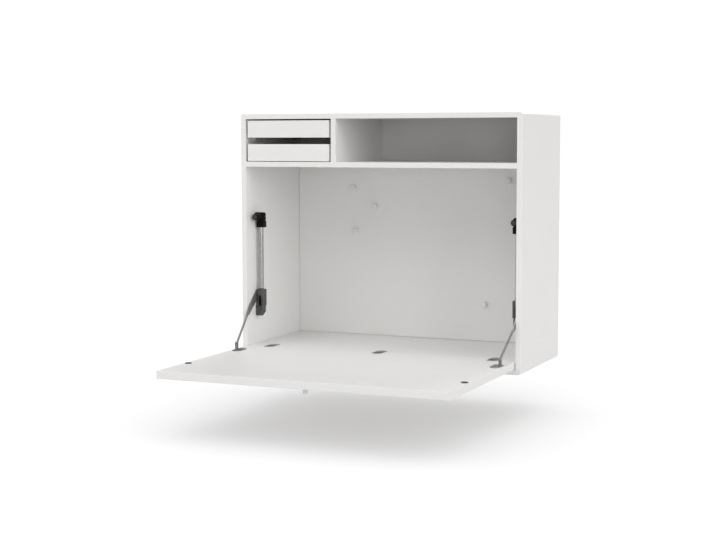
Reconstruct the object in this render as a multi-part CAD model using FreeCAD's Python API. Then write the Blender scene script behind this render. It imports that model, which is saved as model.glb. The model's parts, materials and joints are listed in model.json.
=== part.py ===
import FreeCAD, Part
import math
import os

# Fold down wall desk: a wall cabinet whose lower front folds down to make a writing surface.
# X to the right, Y into the wall, Z up. The wall is the plane y = 0, and the origin is the
# centre of the wall rail's screw holes. All sizes are in mm.

os.makedirs("parts", exist_ok=True)
Vec = FreeCAD.Vector

# Cabinet
cabinet_width = 696.0
cabinet_height = 582.0
cabinet_depth = 300.0
board = 12.0                 # thickness of the carcass boards
outer_round = 6.5            # rounding of the four outer long edges
upper_bay_height = 100.2     # clear height above the shelf
tray_bay_width = 222.5       # clear width left of the divider
hanging_board = 10.0         # thickness of the board behind the upper bay
rail_recess = 10.0           # space for the rails behind the hanging board
back_thickness = 4.0         # thin back of the lower bay
back_recess = 4.0            # space behind the thin back
groove_depth = 4.0
groove_fit = 0.1
edge_ease = 0.8              # small rounding of the front edges

# Flap and its swing
flap_thickness = 17.0
flap_under_gap = 0.5         # open flap above the bottom panel
flap_side_gap = 2.0
flap_top_gap = 3.5           # closed flap below the shelf
flap_foot_gap = 6.0          # closed flap above the bottom panel
flap_heel_round = 6.0        # rounded heel that passes over the bottom panel
hinge_depth = 5.0            # hinge axis below the open writing surface
swing_gap = 0.6              # clearance round the parts that turn past each other

# Hinges
hinge_spacing = 280.0
hinge_width = 25.0
hinge_flap_reach = 19.5
hinge_floor_reach = 36.0
hinge_leaf = 3.0
knuckle_radius = 4.0
knuckle_width = 11.0
knuckle_gap = 0.4
hinge_pin_radius = 1.5
pin_running_gap = 0.05
leaf_screw_pitch = 13.0
leaf_screw_edge = 10.5       # screws from the rounded end of a leaf

# Screws
screw_radius = 1.5
screw_head_radius = 3.0
screw_head_height = 2.0
screw_length = 12.0
slot_width = 0.8
slot_depth = 0.7

# Stays
rod_radius = 6.0
rod_inset = 12.0             # rod axis from the side panel
rod_setback = 52.0           # rod axis behind the cabinet front
rod_socket = 9.0             # rod end inside the head and inside the foot block
stay_foot_level = 97.0       # underside of the foot block above the cabinet bottom
stay_foot_height = 24.0
stay_foot_width = 19.5
stay_foot_step = 4.0         # block stands off the side panel in front of its flange
stay_foot_chamfer_depth = 15.0
stay_foot_chamfer_height = 9.0
stay_foot_screw_level = 8.5  # screw above the underside of the foot block
stay_foot_screw_depth = 7.0  # and behind its front
stay_head_level = 311.0      # underside of the head above the cabinet bottom
stay_head_height = 36.0
stay_head_socket = 15.5      # lower part of the head
stay_head_waist = 2.5        # groove between the lower part and the cap
stay_head_waist_depth = 1.8
stay_head_width = 23.0
stay_head_depth = 18.0
stay_head_round = 5.0
stay_block_depth = 19.0      # slider and foot block, front to rear
slider_wall_gap = 4.0        # slider clear of the side panel
slider_width = 18.0
slider_height = 40.0
slider_gap = 0.3             # slider above the foot block when the flap is open
slider_round = 2.0
slider_slot_width = 6.0
slider_slot_height = 25.0
slider_slot_depth = 2.0
arm_plate = 2.5
arm_wall_gap = 0.9
arm_eye_radius = 10.0
arm_pivot_drop = 11.0        # arm pivot below the top of the slider
arm_pivot_forward = 3.0      # arm pivot in front of the rod axis
arm_rod_radius = 2.6
arm_neck = 82.0              # arm plate starts this far from the flap pivot
arm_shoulder = 98.0
arm_shoulder_half = 7.0
arm_pin_radius = 3.0
arm_pin_gap = 0.4            # open pivot between arm and slider
arm_rivet_radius = 4.0
arm_rivet_height = 0.5
clevis_inset = 11.0          # fork axis from the side panel
clevis_tongue = 2.4
clevis_radius = 3.2
clevis_ear = 1.4
clevis_side_gap = 0.3
clevis_reach = 86.0          # flap pivot of the arm in front of the hinge axis
clevis_height = 15.5         # and above the open writing surface
clevis_pin_radius = 1.4
bracket_width = 21.5
bracket_length = 48.0
bracket_thickness = 1.5
bracket_inset = 18.5         # bracket axis from the side panel
bracket_overhang = 1.5       # bracket centre in front of the arm's flap pivot
bracket_screw_pitch = 33.0
bracket_screw_inset = 3.5    # bracket screws inboard of the bracket axis

# Catch
catch_inset = 12.5           # catch axis from the side panel
catch_drop = 10.0            # catch axis below the top of the stay head
catch_radius = 7.5
catch_magnet_radius = 5.5
catch_magnet_length = 4.0
catch_magnet_proud = 1.0
catch_gap = 0.5              # magnet to strike disc when closed
strike_radius = 7.4
strike_thickness = 1.5

# Flap knob
knob_radius = 5.5
knob_height = 15.5
knob_edge = 42.0
knob_stud_radius = 2.0
knob_stud_length = 14.0

# Magnetic board
magnet_board_thickness = 2.0
magnet_board_side_gap = 0.5
magnet_board_end_gap = 0.5
spacer_radius = 10.0
spacer_thickness = 2.0
spacer_edge = 40.0
magnet_radius = 7.0
magnet_height = 11.0
magnet_round = 2.5

# Trays
tray_side_gap = 5.0
tray_top_gap = 3.5
tray_bottom_gap = 1.4
tray_front_height = 40.0
tray_front_thickness = 10.0
tray_front_setback = 1.0
tray_sheet = 1.5
tray_body_inset = 0.5
tray_body_height = 32.0
tray_rear_gap = 6.0
tray_seat_gap = 0.3
tray_screw_inset = 30.0
runner_width = 10.0
runner_height = 6.0
runner_setback = 30.0
glide_width = 12.0
glide_inset = 14.0

# Rails
rail_gauge = 2.0
wall_rail_length = 620.0
wall_rail_height = 36.0
wall_hole_pitch_x = 544.0
wall_hole_pitch_z = 20.0
wall_hole_radius = 3.0
rail_standoff = 4.5          # wall to the back of the wall rail's lip
rail_lip = 12.0
rail_fit = 0.4
rail_seat = 0.2
cabinet_rail_length = 600.0
cabinet_rail_height = 31.6
rail_headroom = 3.0          # cabinet rail below the top panel
rail_screw_pitch = 140.0
rail_screw_edge = 14.0

# Dowels
dowel_radius = 3.0
dowel_in_side = 8.0
dowel_in_board = 16.0
dowel_front_edge = 30.0
dowel_rear_edge = 40.0

# Derived places
inner_x = cabinet_width / 2 - board
front_y = -cabinet_depth
wall_lip_top = wall_rail_height / 2 + rail_lip
cabinet_web_low = wall_lip_top + rail_seat
inner_top = cabinet_web_low + cabinet_rail_height + rail_headroom
cabinet_top = inner_top + board
cabinet_low = cabinet_top - cabinet_height
bottom_top = cabinet_low + board
shelf_top = inner_top - upper_bay_height
shelf_low = shelf_top - board
divider_left = -inner_x + tray_bay_width
divider_right = divider_left + board
hanging_front = -(rail_recess + hanging_board)
back_front = -(back_recess + back_thickness)

surface_z = bottom_top + flap_under_gap + flap_thickness
closed_inner_y = front_y + flap_thickness
axis_z = surface_z - hinge_depth
axis_y = closed_inner_y - hinge_depth
heel_drop = axis_z - (bottom_top + flap_foot_gap)
heel_y = axis_y + heel_drop
flap_reach = shelf_low - flap_top_gap - axis_z
lip_y = axis_y - flap_reach
flap_x = inner_x - flap_side_gap
floor_front = axis_y + math.hypot(hinge_depth, heel_drop) + swing_gap

rod_x = -(inner_x - rod_inset)
rod_y = front_y + rod_setback
foot_low = cabinet_low + stay_foot_level
foot_top = foot_low + stay_foot_height
head_low = cabinet_low + stay_head_level
head_top = head_low + stay_head_height
slider_low = foot_top + slider_gap
slider_top = slider_low + slider_height
block_front = rod_y - stay_block_depth / 2
block_rear = rod_y + stay_block_depth / 2
slider_outer = -inner_x + slider_wall_gap
slider_inner = slider_outer + slider_width
foot_inner = -inner_x + stay_foot_width
head_inner = -inner_x + stay_head_width
fork_x = -(inner_x - clevis_inset)
arm_top_y = rod_y - arm_pivot_forward
arm_top_z = slider_top - arm_pivot_drop
arm_foot_y = axis_y - clevis_reach
arm_foot_z = surface_z + clevis_height
arm_length = math.hypot(arm_top_y - arm_foot_y, arm_top_z - arm_foot_z)
arm_angle = math.degrees(math.atan2(arm_top_z - arm_foot_z, arm_top_y - arm_foot_y))
closed_foot_y = axis_y + (arm_foot_z - axis_z)
closed_foot_z = axis_z + clevis_reach
closed_top_z = closed_foot_z + math.sqrt(arm_length ** 2 - (arm_top_y - closed_foot_y) ** 2)
slider_travel = closed_top_z - arm_top_z
closed_arm_angle = math.degrees(math.atan2(closed_top_z - closed_foot_z, arm_top_y - closed_foot_y))
arm_turn = 90.0 + closed_arm_angle - arm_angle

catch_x = -(inner_x - catch_inset)
catch_z = head_top - catch_drop
catch_tip = closed_inner_y + strike_thickness + catch_gap
strike_y = axis_y - (catch_z - axis_z)

tray_left = -inner_x + tray_side_gap
tray_right = divider_left - tray_side_gap
tray_front_y = front_y + tray_front_setback
tray_body_front = tray_front_y + tray_front_thickness
tray_body_rear = hanging_front - tray_rear_gap
upper_tray_low = inner_top - tray_top_gap - tray_front_height
lower_tray_low = shelf_top + tray_bottom_gap


def box(x0, x1, y0, y1, z0, z1):
    """Solid box between two corners."""
    return Part.makeBox(x1 - x0, y1 - y0, z1 - z0, Vec(x0, y0, z0))


def rod_along_x(radius, x0, x1, y, z):
    """Cylinder parallel to X."""
    return Part.makeCylinder(radius, x1 - x0, Vec(x0, y, z), Vec(1, 0, 0))


def rod_along_y(radius, y0, y1, x, z):
    """Cylinder parallel to Y."""
    return Part.makeCylinder(radius, y1 - y0, Vec(x, y0, z), Vec(0, 1, 0))


def rod_along_z(radius, z0, z1, x, y):
    """Cylinder parallel to Z."""
    return Part.makeCylinder(radius, z1 - z0, Vec(x, y, z0), Vec(0, 0, 1))


def mirrored(shape):
    """The same shape on the other side of the middle plane."""
    return shape.mirror(Vec(0, 0, 0), Vec(1, 0, 0))


def round_edges(shape, radius, wanted):
    """Round the straight edges whose two ends satisfy a test."""
    chosen = []
    for edge in shape.Edges:
        if len(edge.Vertexes) == 2 and wanted(edge.Vertexes[0].Point, edge.Vertexes[1].Point):
            chosen.append(edge)
    return shape.makeFillet(radius, chosen)


def near(a, b):
    """True where two coordinates are the same."""
    return abs(a - b) < 1e-4


def save(name, shapes):
    """Write one node, as one solid or as a group of separate solids."""
    solids = []
    for shape in shapes:
        solids.extend(shape.Solids)
    result = solids[0] if len(solids) == 1 else Part.makeCompound(solids)
    result.exportStep("parts/" + name + ".step")


def wood_screw(length):
    """Countersunk slotted screw, head face at z = 0, pointing down."""
    shank = Part.makeCylinder(screw_radius, length, Vec(0, 0, -length))
    head = Part.makeCone(screw_radius, screw_head_radius, screw_head_height, Vec(0, 0, -screw_head_height))
    slot = Part.makeBox(2 * screw_head_radius, slot_width, slot_depth,
                        Vec(-screw_head_radius, -slot_width / 2, -slot_depth))
    return shank.fuse(head).removeSplitter().cut(slot)


def screw_hole(length):
    """The room that a countersunk screw takes."""
    shank = Part.makeCylinder(screw_radius, length, Vec(0, 0, -length))
    head = Part.makeCone(screw_radius, screw_head_radius, screw_head_height, Vec(0, 0, -screw_head_height))
    return shank.fuse(head).removeSplitter()


def placed(shape, axis, angle, place):
    """A copy turned about an axis through the origin and then moved."""
    copy = shape.copy()
    copy.rotate(Vec(0, 0, 0), axis, angle)
    copy.translate(place)
    return copy


# Where things are fastened

def hinge_places():
    """X positions of the hinges."""
    return [-hinge_spacing, 0.0, hinge_spacing]


def leaf_screw_spots(reach, side):
    """Screw centres on the leaves of one side: side is -1 on the flap, +1 on the floor."""
    spots = []
    for x in hinge_places():
        for dx in (-leaf_screw_pitch / 2, leaf_screw_pitch / 2):
            spots.append(Vec(x + dx, axis_y + side * (reach - leaf_screw_edge), surface_z))
    return spots


def bracket_centre():
    """Centre of the left stay bracket on the writing surface."""
    return Vec(-(inner_x - bracket_inset), arm_foot_y - bracket_overhang, surface_z)


def bracket_screw_spots():
    """Screw centres on both stay brackets."""
    centre = bracket_centre()
    spots = []
    for side in (1, -1):
        for dy in (-bracket_screw_pitch / 2, bracket_screw_pitch / 2):
            x = side * (centre.x + bracket_screw_inset)
            spots.append(Vec(x, centre.y + dy, surface_z + bracket_thickness))
    return spots


def strike_spots():
    """Centres of the strike discs on the writing surface."""
    return [Vec(side * catch_x, strike_y, surface_z) for side in (1, -1)]


def stay_screw_places():
    """Head faces of the screws that hold the left stay's head and foot block."""
    head = Vec(head_inner, rod_y, catch_z)
    foot = Vec(foot_inner, block_front + stay_foot_screw_depth, foot_low + stay_foot_screw_level)
    return [head, foot]


def dowels():
    """All dowels: boards into the side panels, and the divider into shelf and top."""
    pegs = []
    board_levels = [cabinet_low + board / 2, shelf_low + board / 2, inner_top + board / 2]
    for z in board_levels:
        for y in (front_y + dowel_front_edge, front_y / 2, -dowel_rear_edge):
            pegs.append(rod_along_x(dowel_radius, -inner_x - dowel_in_side, -inner_x + dowel_in_board, y, z))
    hang_y = hanging_front + hanging_board / 2
    for z in (shelf_top + upper_bay_height / 4, inner_top - upper_bay_height / 4):
        pegs.append(rod_along_x(dowel_radius, -inner_x - dowel_in_side, -inner_x + dowel_in_board, hang_y, z))
    pegs.extend([mirrored(peg) for peg in list(pegs)])
    divider_x = (divider_left + divider_right) / 2
    for y in (front_y + dowel_front_edge, hanging_front - dowel_rear_edge):
        pegs.append(rod_along_z(dowel_radius, shelf_top - dowel_in_side, shelf_top + dowel_in_board, divider_x, y))
        pegs.append(rod_along_z(dowel_radius, inner_top - dowel_in_board, inner_top + dowel_in_side, divider_x, y))
    return pegs


def without(shape, tools):
    """Cut a list of tools out of a shape."""
    for tool in tools:
        if shape.BoundBox.intersect(tool.BoundBox):
            shape = shape.cut(tool)
    return shape


# Carcass

def back_groove():
    """Room for the thin back, with its groove clearance."""
    reach = inner_x + groove_depth
    return box(-reach, reach, back_front - groove_fit, -back_recess + groove_fit,
               bottom_top - groove_depth, shelf_low + groove_depth)


def stay_screw_tools():
    """Holes of all four stay screws."""
    tools = []
    for spot in stay_screw_places():
        length = spot.x + inner_x + dowel_in_side
        hole = placed(screw_hole(length), Vec(0, 1, 0), 90, spot)
        tools.append(hole)
        tools.append(mirrored(hole))
    return tools


def runner_screw_spots():
    """Head faces of the runner screws: place and the side that the screw points to."""
    level = upper_tray_low - tray_seat_gap - runner_height / 2
    spots = []
    for y in (tray_front_y + 2 * runner_setback, hanging_front - dowel_rear_edge):
        spots.append((Vec(-inner_x + runner_width, y, level), 90))
        spots.append((Vec(divider_left - runner_width, y, level), -90))
    return spots


def runner_screws(maker):
    """Screws or screw holes of the tray runners."""
    length = runner_width + dowel_in_side
    return [placed(maker(length), Vec(0, 1, 0), angle, spot) for spot, angle in runner_screw_spots()]


def side_panel():
    """Left side panel, rounded on its two outer long edges."""
    outer = -cabinet_width / 2
    panel = box(outer, -inner_x, front_y, 0, cabinet_low, cabinet_top)

    def outer_long(a, b):
        level = near(a.z, b.z) and (near(a.z, cabinet_low) or near(a.z, cabinet_top))
        return level and near(a.x, outer) and near(b.x, outer)

    panel = round_edges(panel, outer_round, outer_long)
    panel = panel.cut(back_groove())
    panel = without(panel, dowels())
    return without(panel, stay_screw_tools())


def top_panel():
    """Top between the side panels."""
    panel = box(-inner_x, inner_x, front_y, 0, inner_top, cabinet_top)
    return without(panel, dowels())


def bottom_panel():
    """Bottom between the side panels."""
    panel = box(-inner_x, inner_x, front_y, 0, cabinet_low, bottom_top)
    return without(panel.cut(back_groove()), dowels())


def shelf():
    """Shelf between upper and lower bay."""
    panel = box(-inner_x, inner_x, front_y, 0, shelf_low, shelf_top)
    return without(panel.cut(back_groove()), dowels())


def divider():
    """Upright between the tray bay and the open niche."""
    panel = box(divider_left, divider_right, front_y, hanging_front, shelf_top, inner_top)
    return without(without(panel, dowels()), runner_screws(screw_hole))


def rail_screw_spots():
    """Centres of the cabinet rail's screws."""
    level = cabinet_web_low + cabinet_rail_height - rail_screw_edge
    count = int(cabinet_rail_length / 2 / rail_screw_pitch)
    return [(i * rail_screw_pitch, level) for i in range(-count, count + 1)]


def rail_screw(x, z):
    """Pan head screw through the cabinet rail into the hanging board."""
    seat = -rail_recess + rail_gauge
    head = rod_along_y(screw_head_radius, seat, seat + screw_head_height, x, z)
    shank = rod_along_y(screw_radius, seat - screw_length + rail_gauge, seat, x, z)
    return head.fuse(shank).removeSplitter()


def rear_board():
    """Board behind the upper bay that carries the cabinet rail."""
    panel = box(-inner_x, inner_x, hanging_front, -rail_recess, shelf_top, inner_top)
    panel = without(panel, dowels())
    return without(panel, [rail_screw(x, z) for x, z in rail_screw_spots()])


def back_panel():
    """Thin back of the lower bay, held in grooves."""
    reach = inner_x + groove_depth - groove_fit
    return box(-reach, reach, back_front, -back_recess, bottom_top - groove_depth + groove_fit,
               shelf_low + groove_depth - groove_fit)


def rounded_leaf(x, reach, side, low, high):
    """Plate with a half round end, from the hinge axis outwards."""
    radius = hinge_width / 2
    end = axis_y + side * (reach - radius)
    clear_y = axis_y + side * (knuckle_radius + hinge_leaf / 2)
    plate = box(x - radius, x + radius, min(clear_y, end), max(clear_y, end), low, high)
    disc = rod_along_z(radius, low, high, x, end)
    far = axis_y + side * reach
    keep = box(x - radius, x + radius, min(clear_y, far), max(clear_y, far), low, high)
    return plate.fuse(disc.common(keep)).removeSplitter()


def floor_board():
    """Raised floor, flush with the open flap and let in for the hinge leaves."""
    panel = box(-inner_x, inner_x, floor_front, back_front, bottom_top, surface_z)
    for x in hinge_places():
        panel = panel.cut(rounded_leaf(x, hinge_floor_reach, 1, surface_z - hinge_leaf, surface_z))
    return without(panel, [placed(screw_hole(screw_length), Vec(0, 0, 1), 0, spot)
                           for spot in leaf_screw_spots(hinge_floor_reach, 1)])


# Magnetic board

def magnet_board_faces():
    """Rear and front plane of the magnetic board."""
    rear = back_front - spacer_thickness
    return rear, rear - magnet_board_thickness


def magnet_board_edges():
    """Half width, lower edge and upper edge of the magnetic board."""
    return inner_x - magnet_board_side_gap, surface_z + magnet_board_end_gap, shelf_low - magnet_board_end_gap


def magnet_board():
    """White steel sheet in front of the thin back."""
    rear, front = magnet_board_faces()
    half, low, high = magnet_board_edges()
    return box(-half, half, front, rear, low, high)


def board_spacers():
    """Round pads between the thin back and the magnetic board."""
    rear = magnet_board_faces()[0]
    half, low, high = magnet_board_edges()
    pads = []
    for x in (-half + spacer_edge, 0.0, half - spacer_edge):
        for z in (low + spacer_edge, high - spacer_edge):
            pads.append(rod_along_y(spacer_radius, rear, back_front, x, z))
    return pads


def board_magnet(across, up):
    """Loose round magnet: across from -1 to 1 of the board's half width, up from 0 to 1 of its height."""
    front = magnet_board_faces()[1]
    half, low, high = magnet_board_edges()
    x = across * half
    z = low + up * (high - low)
    body = rod_along_y(magnet_radius, front - magnet_height, front, x, z)
    face_edges = [e for e in body.Edges if near(e.BoundBox.YMax, front - magnet_height)]
    return body.makeFillet(magnet_round, face_edges)


def board_magnets():
    """Five magnets, left where someone put them."""
    upper_left = board_magnet(-0.546, 0.865)
    middle_left = board_magnet(-0.368, 0.759)
    lower_left = board_magnet(-0.527, 0.610)
    lower_right = board_magnet(0.493, 0.212)
    upper_right = board_magnet(0.673, 0.916)
    return [upper_left, middle_left, lower_left, lower_right, upper_right]


# Hinges

def knuckle(x, x0, x1, side):
    """Barrel of a hinge leaf with the web that joins it to its plate."""
    barrel = rod_along_x(knuckle_radius, x + x0, x + x1, axis_y, axis_z)
    web_end = axis_y + side * (knuckle_radius + hinge_leaf / 2)
    low = axis_z + hinge_depth - hinge_leaf - hinge_pin_radius
    web = box(x + x0, x + x1, min(axis_y, web_end), max(axis_y, web_end), low, axis_z + knuckle_radius)
    return barrel.fuse(web).removeSplitter()


def side_knuckle_spans():
    """X spans of the two outer knuckles, from the hinge middle."""
    inner = knuckle_width / 2 + knuckle_gap
    return [(-hinge_width / 2, -inner), (inner, hinge_width / 2)]


def hinge_floor_leaf(x):
    """Leaf on the raised floor, with the two outer knuckles."""
    leaf = rounded_leaf(x, hinge_floor_reach, 1, surface_z - hinge_leaf, surface_z)
    for x0, x1 in side_knuckle_spans():
        leaf = leaf.fuse(knuckle(x, x0, x1, 1))
    leaf = leaf.removeSplitter()
    leaf = leaf.cut(rod_along_x(hinge_pin_radius, x - hinge_width, x + hinge_width, axis_y, axis_z))
    return without(leaf, [placed(screw_hole(screw_length), Vec(0, 0, 1), 0, spot)
                          for spot in leaf_screw_spots(hinge_floor_reach, 1)])


def hinge_flap_leaf(x):
    """Leaf on the flap, with the middle knuckle running on the pin."""
    leaf = rounded_leaf(x, hinge_flap_reach, -1, surface_z - hinge_leaf, surface_z)
    leaf = leaf.fuse(knuckle(x, -knuckle_width / 2, knuckle_width / 2, -1)).removeSplitter()
    bore = hinge_pin_radius + pin_running_gap
    leaf = leaf.cut(rod_along_x(bore, x - hinge_width, x + hinge_width, axis_y, axis_z))
    return without(leaf, [placed(screw_hole(screw_length), Vec(0, 0, 1), 0, spot)
                          for spot in leaf_screw_spots(hinge_flap_reach, -1)])


def hinge_pin(x):
    """Pin through all three knuckles."""
    return rod_along_x(hinge_pin_radius, x - hinge_width / 2, x + hinge_width / 2, axis_y, axis_z)


def leaf_screws(reach, side):
    """Countersunk screws of the leaves of one side."""
    return [placed(wood_screw(screw_length), Vec(0, 0, 1), 0, spot) for spot in leaf_screw_spots(reach, side)]


# Flap

def flap_pocket(x):
    """Room in the flap's heel for the knuckles and for the floor leaf when the flap turns."""
    half = hinge_width / 2 + knuckle_gap
    front = axis_y - knuckle_radius - hinge_leaf / 2
    low = axis_z - knuckle_radius - swing_gap
    return box(x - half, x + half, front, heel_y + board, low, surface_z + board)


def flap_panel():
    """Drop front, open as a writing surface, with a rounded heel."""
    low = surface_z - flap_thickness
    panel = box(-flap_x, flap_x, lip_y, heel_y, low, surface_z)

    def heel(a, b):
        return near(a.y, heel_y) and near(b.y, heel_y) and near(a.z, low) and near(b.z, low)

    def lip(a, b):
        return near(a.y, lip_y) and near(b.y, lip_y)

    panel = round_edges(panel, flap_heel_round, heel)
    panel = round_edges(panel, edge_ease, lip)
    for x in hinge_places():
        panel = panel.cut(flap_pocket(x))
        panel = panel.cut(rounded_leaf(x, hinge_flap_reach, -1, surface_z - hinge_leaf, surface_z))
    holes = [placed(screw_hole(screw_length), Vec(0, 0, 1), 0, spot)
             for spot in leaf_screw_spots(hinge_flap_reach, -1) + bracket_screw_spots()]
    for spot in strike_spots():
        holes.append(placed(screw_hole(screw_length), Vec(0, 0, 1), 0, spot + Vec(0, 0, strike_thickness)))
    holes.append(knob_stud())
    return without(panel, holes)


def flap_knob():
    """White knob on the outer face, near the free edge."""
    face = surface_z - flap_thickness
    knob = rod_along_z(knob_radius, face - knob_height, face, 0, lip_y + knob_edge)
    end = face - knob_height
    rim = [e for e in knob.Edges if near(e.BoundBox.ZMin, end) and near(e.BoundBox.ZMax, end)]
    return knob.makeFillet(edge_ease, rim).cut(knob_stud())


def knob_stud():
    """Threaded stud that joins the knob to the flap."""
    face = surface_z - flap_thickness
    half = knob_stud_length / 2
    return rod_along_z(knob_stud_radius, face - half, face + half, 0, lip_y + knob_edge)


def strike_discs():
    """Steel discs on the flap that the catch magnets hold."""
    discs = []
    for spot in strike_spots():
        disc = rod_along_z(strike_radius, spot.z, spot.z + strike_thickness, spot.x, spot.y)
        discs.append(disc.cut(placed(screw_hole(screw_length), Vec(0, 0, 1), 0, spot + Vec(0, 0, strike_thickness))))
    return discs


def strike_screws():
    """Screws through the strike discs."""
    return [placed(wood_screw(screw_length), Vec(0, 0, 1), 0, spot + Vec(0, 0, strike_thickness))
            for spot in strike_spots()]


# Stays, built for the left side

def clevis_half_width():
    """From the middle of the fork to the outside of an ear."""
    return clevis_tongue / 2 + clevis_side_gap + clevis_ear


def stay_bracket():
    """Plate on the flap with the fork that holds the arm."""
    centre = bracket_centre()
    radius = bracket_width / 2
    straight = bracket_length / 2 - radius
    high = surface_z + bracket_thickness
    plate = box(centre.x - radius, centre.x + radius, centre.y - straight, centre.y + straight, surface_z, high)
    for dy in (-straight, straight):
        plate = plate.fuse(rod_along_z(radius, surface_z, high, centre.x, centre.y + dy))
    half = clevis_half_width()
    fork = box(fork_x - half, fork_x + half, arm_foot_y - clevis_radius, arm_foot_y + clevis_radius,
               surface_z, arm_foot_z)
    fork = fork.fuse(rod_along_x(clevis_radius, fork_x - half, fork_x + half, arm_foot_y, arm_foot_z))
    gap = clevis_tongue / 2 + clevis_side_gap
    floor = arm_foot_z - clevis_radius - swing_gap
    fork = fork.cut(box(fork_x - gap, fork_x + gap, arm_foot_y - 2 * clevis_radius, arm_foot_y + 2 * clevis_radius,
                        floor, arm_foot_z + 2 * clevis_radius))
    bracket = plate.fuse(fork).removeSplitter()
    bracket = bracket.cut(stay_bracket_pin())
    return without(bracket, [placed(screw_hole(screw_length), Vec(0, 0, 1), 0, spot)
                             for spot in bracket_screw_spots()])


def stay_bracket_pin():
    """Pin through the fork."""
    half = clevis_half_width() + clevis_side_gap
    return rod_along_x(clevis_pin_radius, fork_x - half, fork_x + half, arm_foot_y, arm_foot_z)


def bracket_screws():
    """Screws of both stay brackets."""
    return [placed(wood_screw(screw_length), Vec(0, 0, 1), 0, spot) for spot in bracket_screw_spots()]


def stay_arm():
    """Arm from the flap fork to the slider, laid along +Y and then turned up."""
    plate_x0 = -inner_x + arm_wall_gap
    plate_x1 = plate_x0 + arm_plate
    half = clevis_tongue / 2
    eye = rod_along_x(clevis_radius, fork_x - half, fork_x + half, 0, 0)
    tongue = box(fork_x - half, fork_x + half, 0, 2 * clevis_radius, -arm_rod_radius, arm_rod_radius)
    start = Vec(fork_x, clevis_radius + swing_gap + clevis_side_gap, 0)
    end = Vec(plate_x0 + arm_rod_radius + swing_gap, arm_shoulder, 0)
    bar = Part.makeCylinder(arm_rod_radius, (end - start).Length, start, end - start)
    neck = arm_rod_radius
    eye_half = arm_eye_radius
    outline = [Vec(plate_x0, arm_neck, -neck), Vec(plate_x0, arm_shoulder, -arm_shoulder_half),
               Vec(plate_x0, arm_length, -eye_half), Vec(plate_x0, arm_length, eye_half),
               Vec(plate_x0, arm_shoulder, arm_shoulder_half), Vec(plate_x0, arm_neck, neck)]
    plate = Part.Face(Part.makePolygon(outline + outline[:1])).extrude(Vec(arm_plate, 0, 0))
    big_eye = rod_along_x(arm_eye_radius, plate_x0, plate_x1, arm_length, 0)
    arm = eye.fuse([tongue, bar, plate, big_eye]).removeSplitter()
    arm = arm.cut(rod_along_x(clevis_pin_radius + pin_running_gap, fork_x - 2 * half, fork_x + 2 * half, 0, 0))
    arm = arm.cut(rod_along_x(arm_pin_radius, plate_x0 - arm_plate, plate_x1 + arm_plate, arm_length, 0))
    return placed(arm, Vec(1, 0, 0), arm_angle, Vec(0, arm_foot_y, arm_foot_z))


def stay_arm_rivet():
    """Pivot pin in the arm's upper eye; it stops just short of the slider."""
    plate_x0 = -inner_x + arm_wall_gap
    pin = rod_along_x(arm_pin_radius, plate_x0, slider_outer - arm_pin_gap, arm_top_y, arm_top_z)
    head = rod_along_x(arm_rivet_radius, plate_x0 - arm_rivet_height, plate_x0, arm_top_y, arm_top_z)
    return pin.fuse(head).removeSplitter()


def stay_rod():
    """Upright guide rod."""
    return rod_along_z(rod_radius, foot_top - rod_socket, head_low + rod_socket, rod_x, rod_y)


def stay_slider():
    """Housing that runs on the rod, with an upright slot in the lower part of its front."""
    body = box(slider_outer, slider_inner, block_front, block_rear, slider_low, slider_top)

    def shown(a, b):
        upright = near(a.x, b.x) and near(a.y, b.y)
        on_top = near(a.z, slider_top) and near(b.z, slider_top)
        return upright or on_top

    body = round_edges(body, slider_round, shown)
    slot_middle = (slider_outer + slider_inner) / 2
    slot_half = slider_slot_width / 2
    body = body.cut(box(slot_middle - slot_half, slot_middle + slot_half, block_front - board,
                        block_front + slider_slot_depth, slider_low - board, slider_low + slider_slot_height))
    return body.cut(rod_along_z(rod_radius + pin_running_gap, slider_low - board, slider_top + board, rod_x, rod_y))


def stay_foot():
    """Block with a flange on the side panel; it holds the rod's lower end and is cut away below its rear."""
    block = box(-inner_x + stay_foot_step, foot_inner, block_front, block_rear, foot_low, foot_top)
    flange = box(-inner_x, foot_inner, block_front + stay_foot_step, block_rear, foot_low, foot_top)
    body = block.fuse(flange).removeSplitter()
    cut = [Vec(-inner_x, block_rear, foot_low), Vec(-inner_x, block_rear, foot_low + stay_foot_chamfer_height),
           Vec(-inner_x, block_rear - stay_foot_chamfer_depth, foot_low)]
    wedge = Part.Face(Part.makePolygon(cut + cut[:1])).extrude(Vec(stay_foot_width, 0, 0))
    body = body.cut(wedge).cut(stay_rod())
    return without(body, stay_screw_tools())


def catch_magnet():
    """Disc magnet in the nose of the stay head."""
    return rod_along_y(catch_magnet_radius, catch_tip, catch_tip + catch_magnet_length, catch_x, catch_z)


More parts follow.
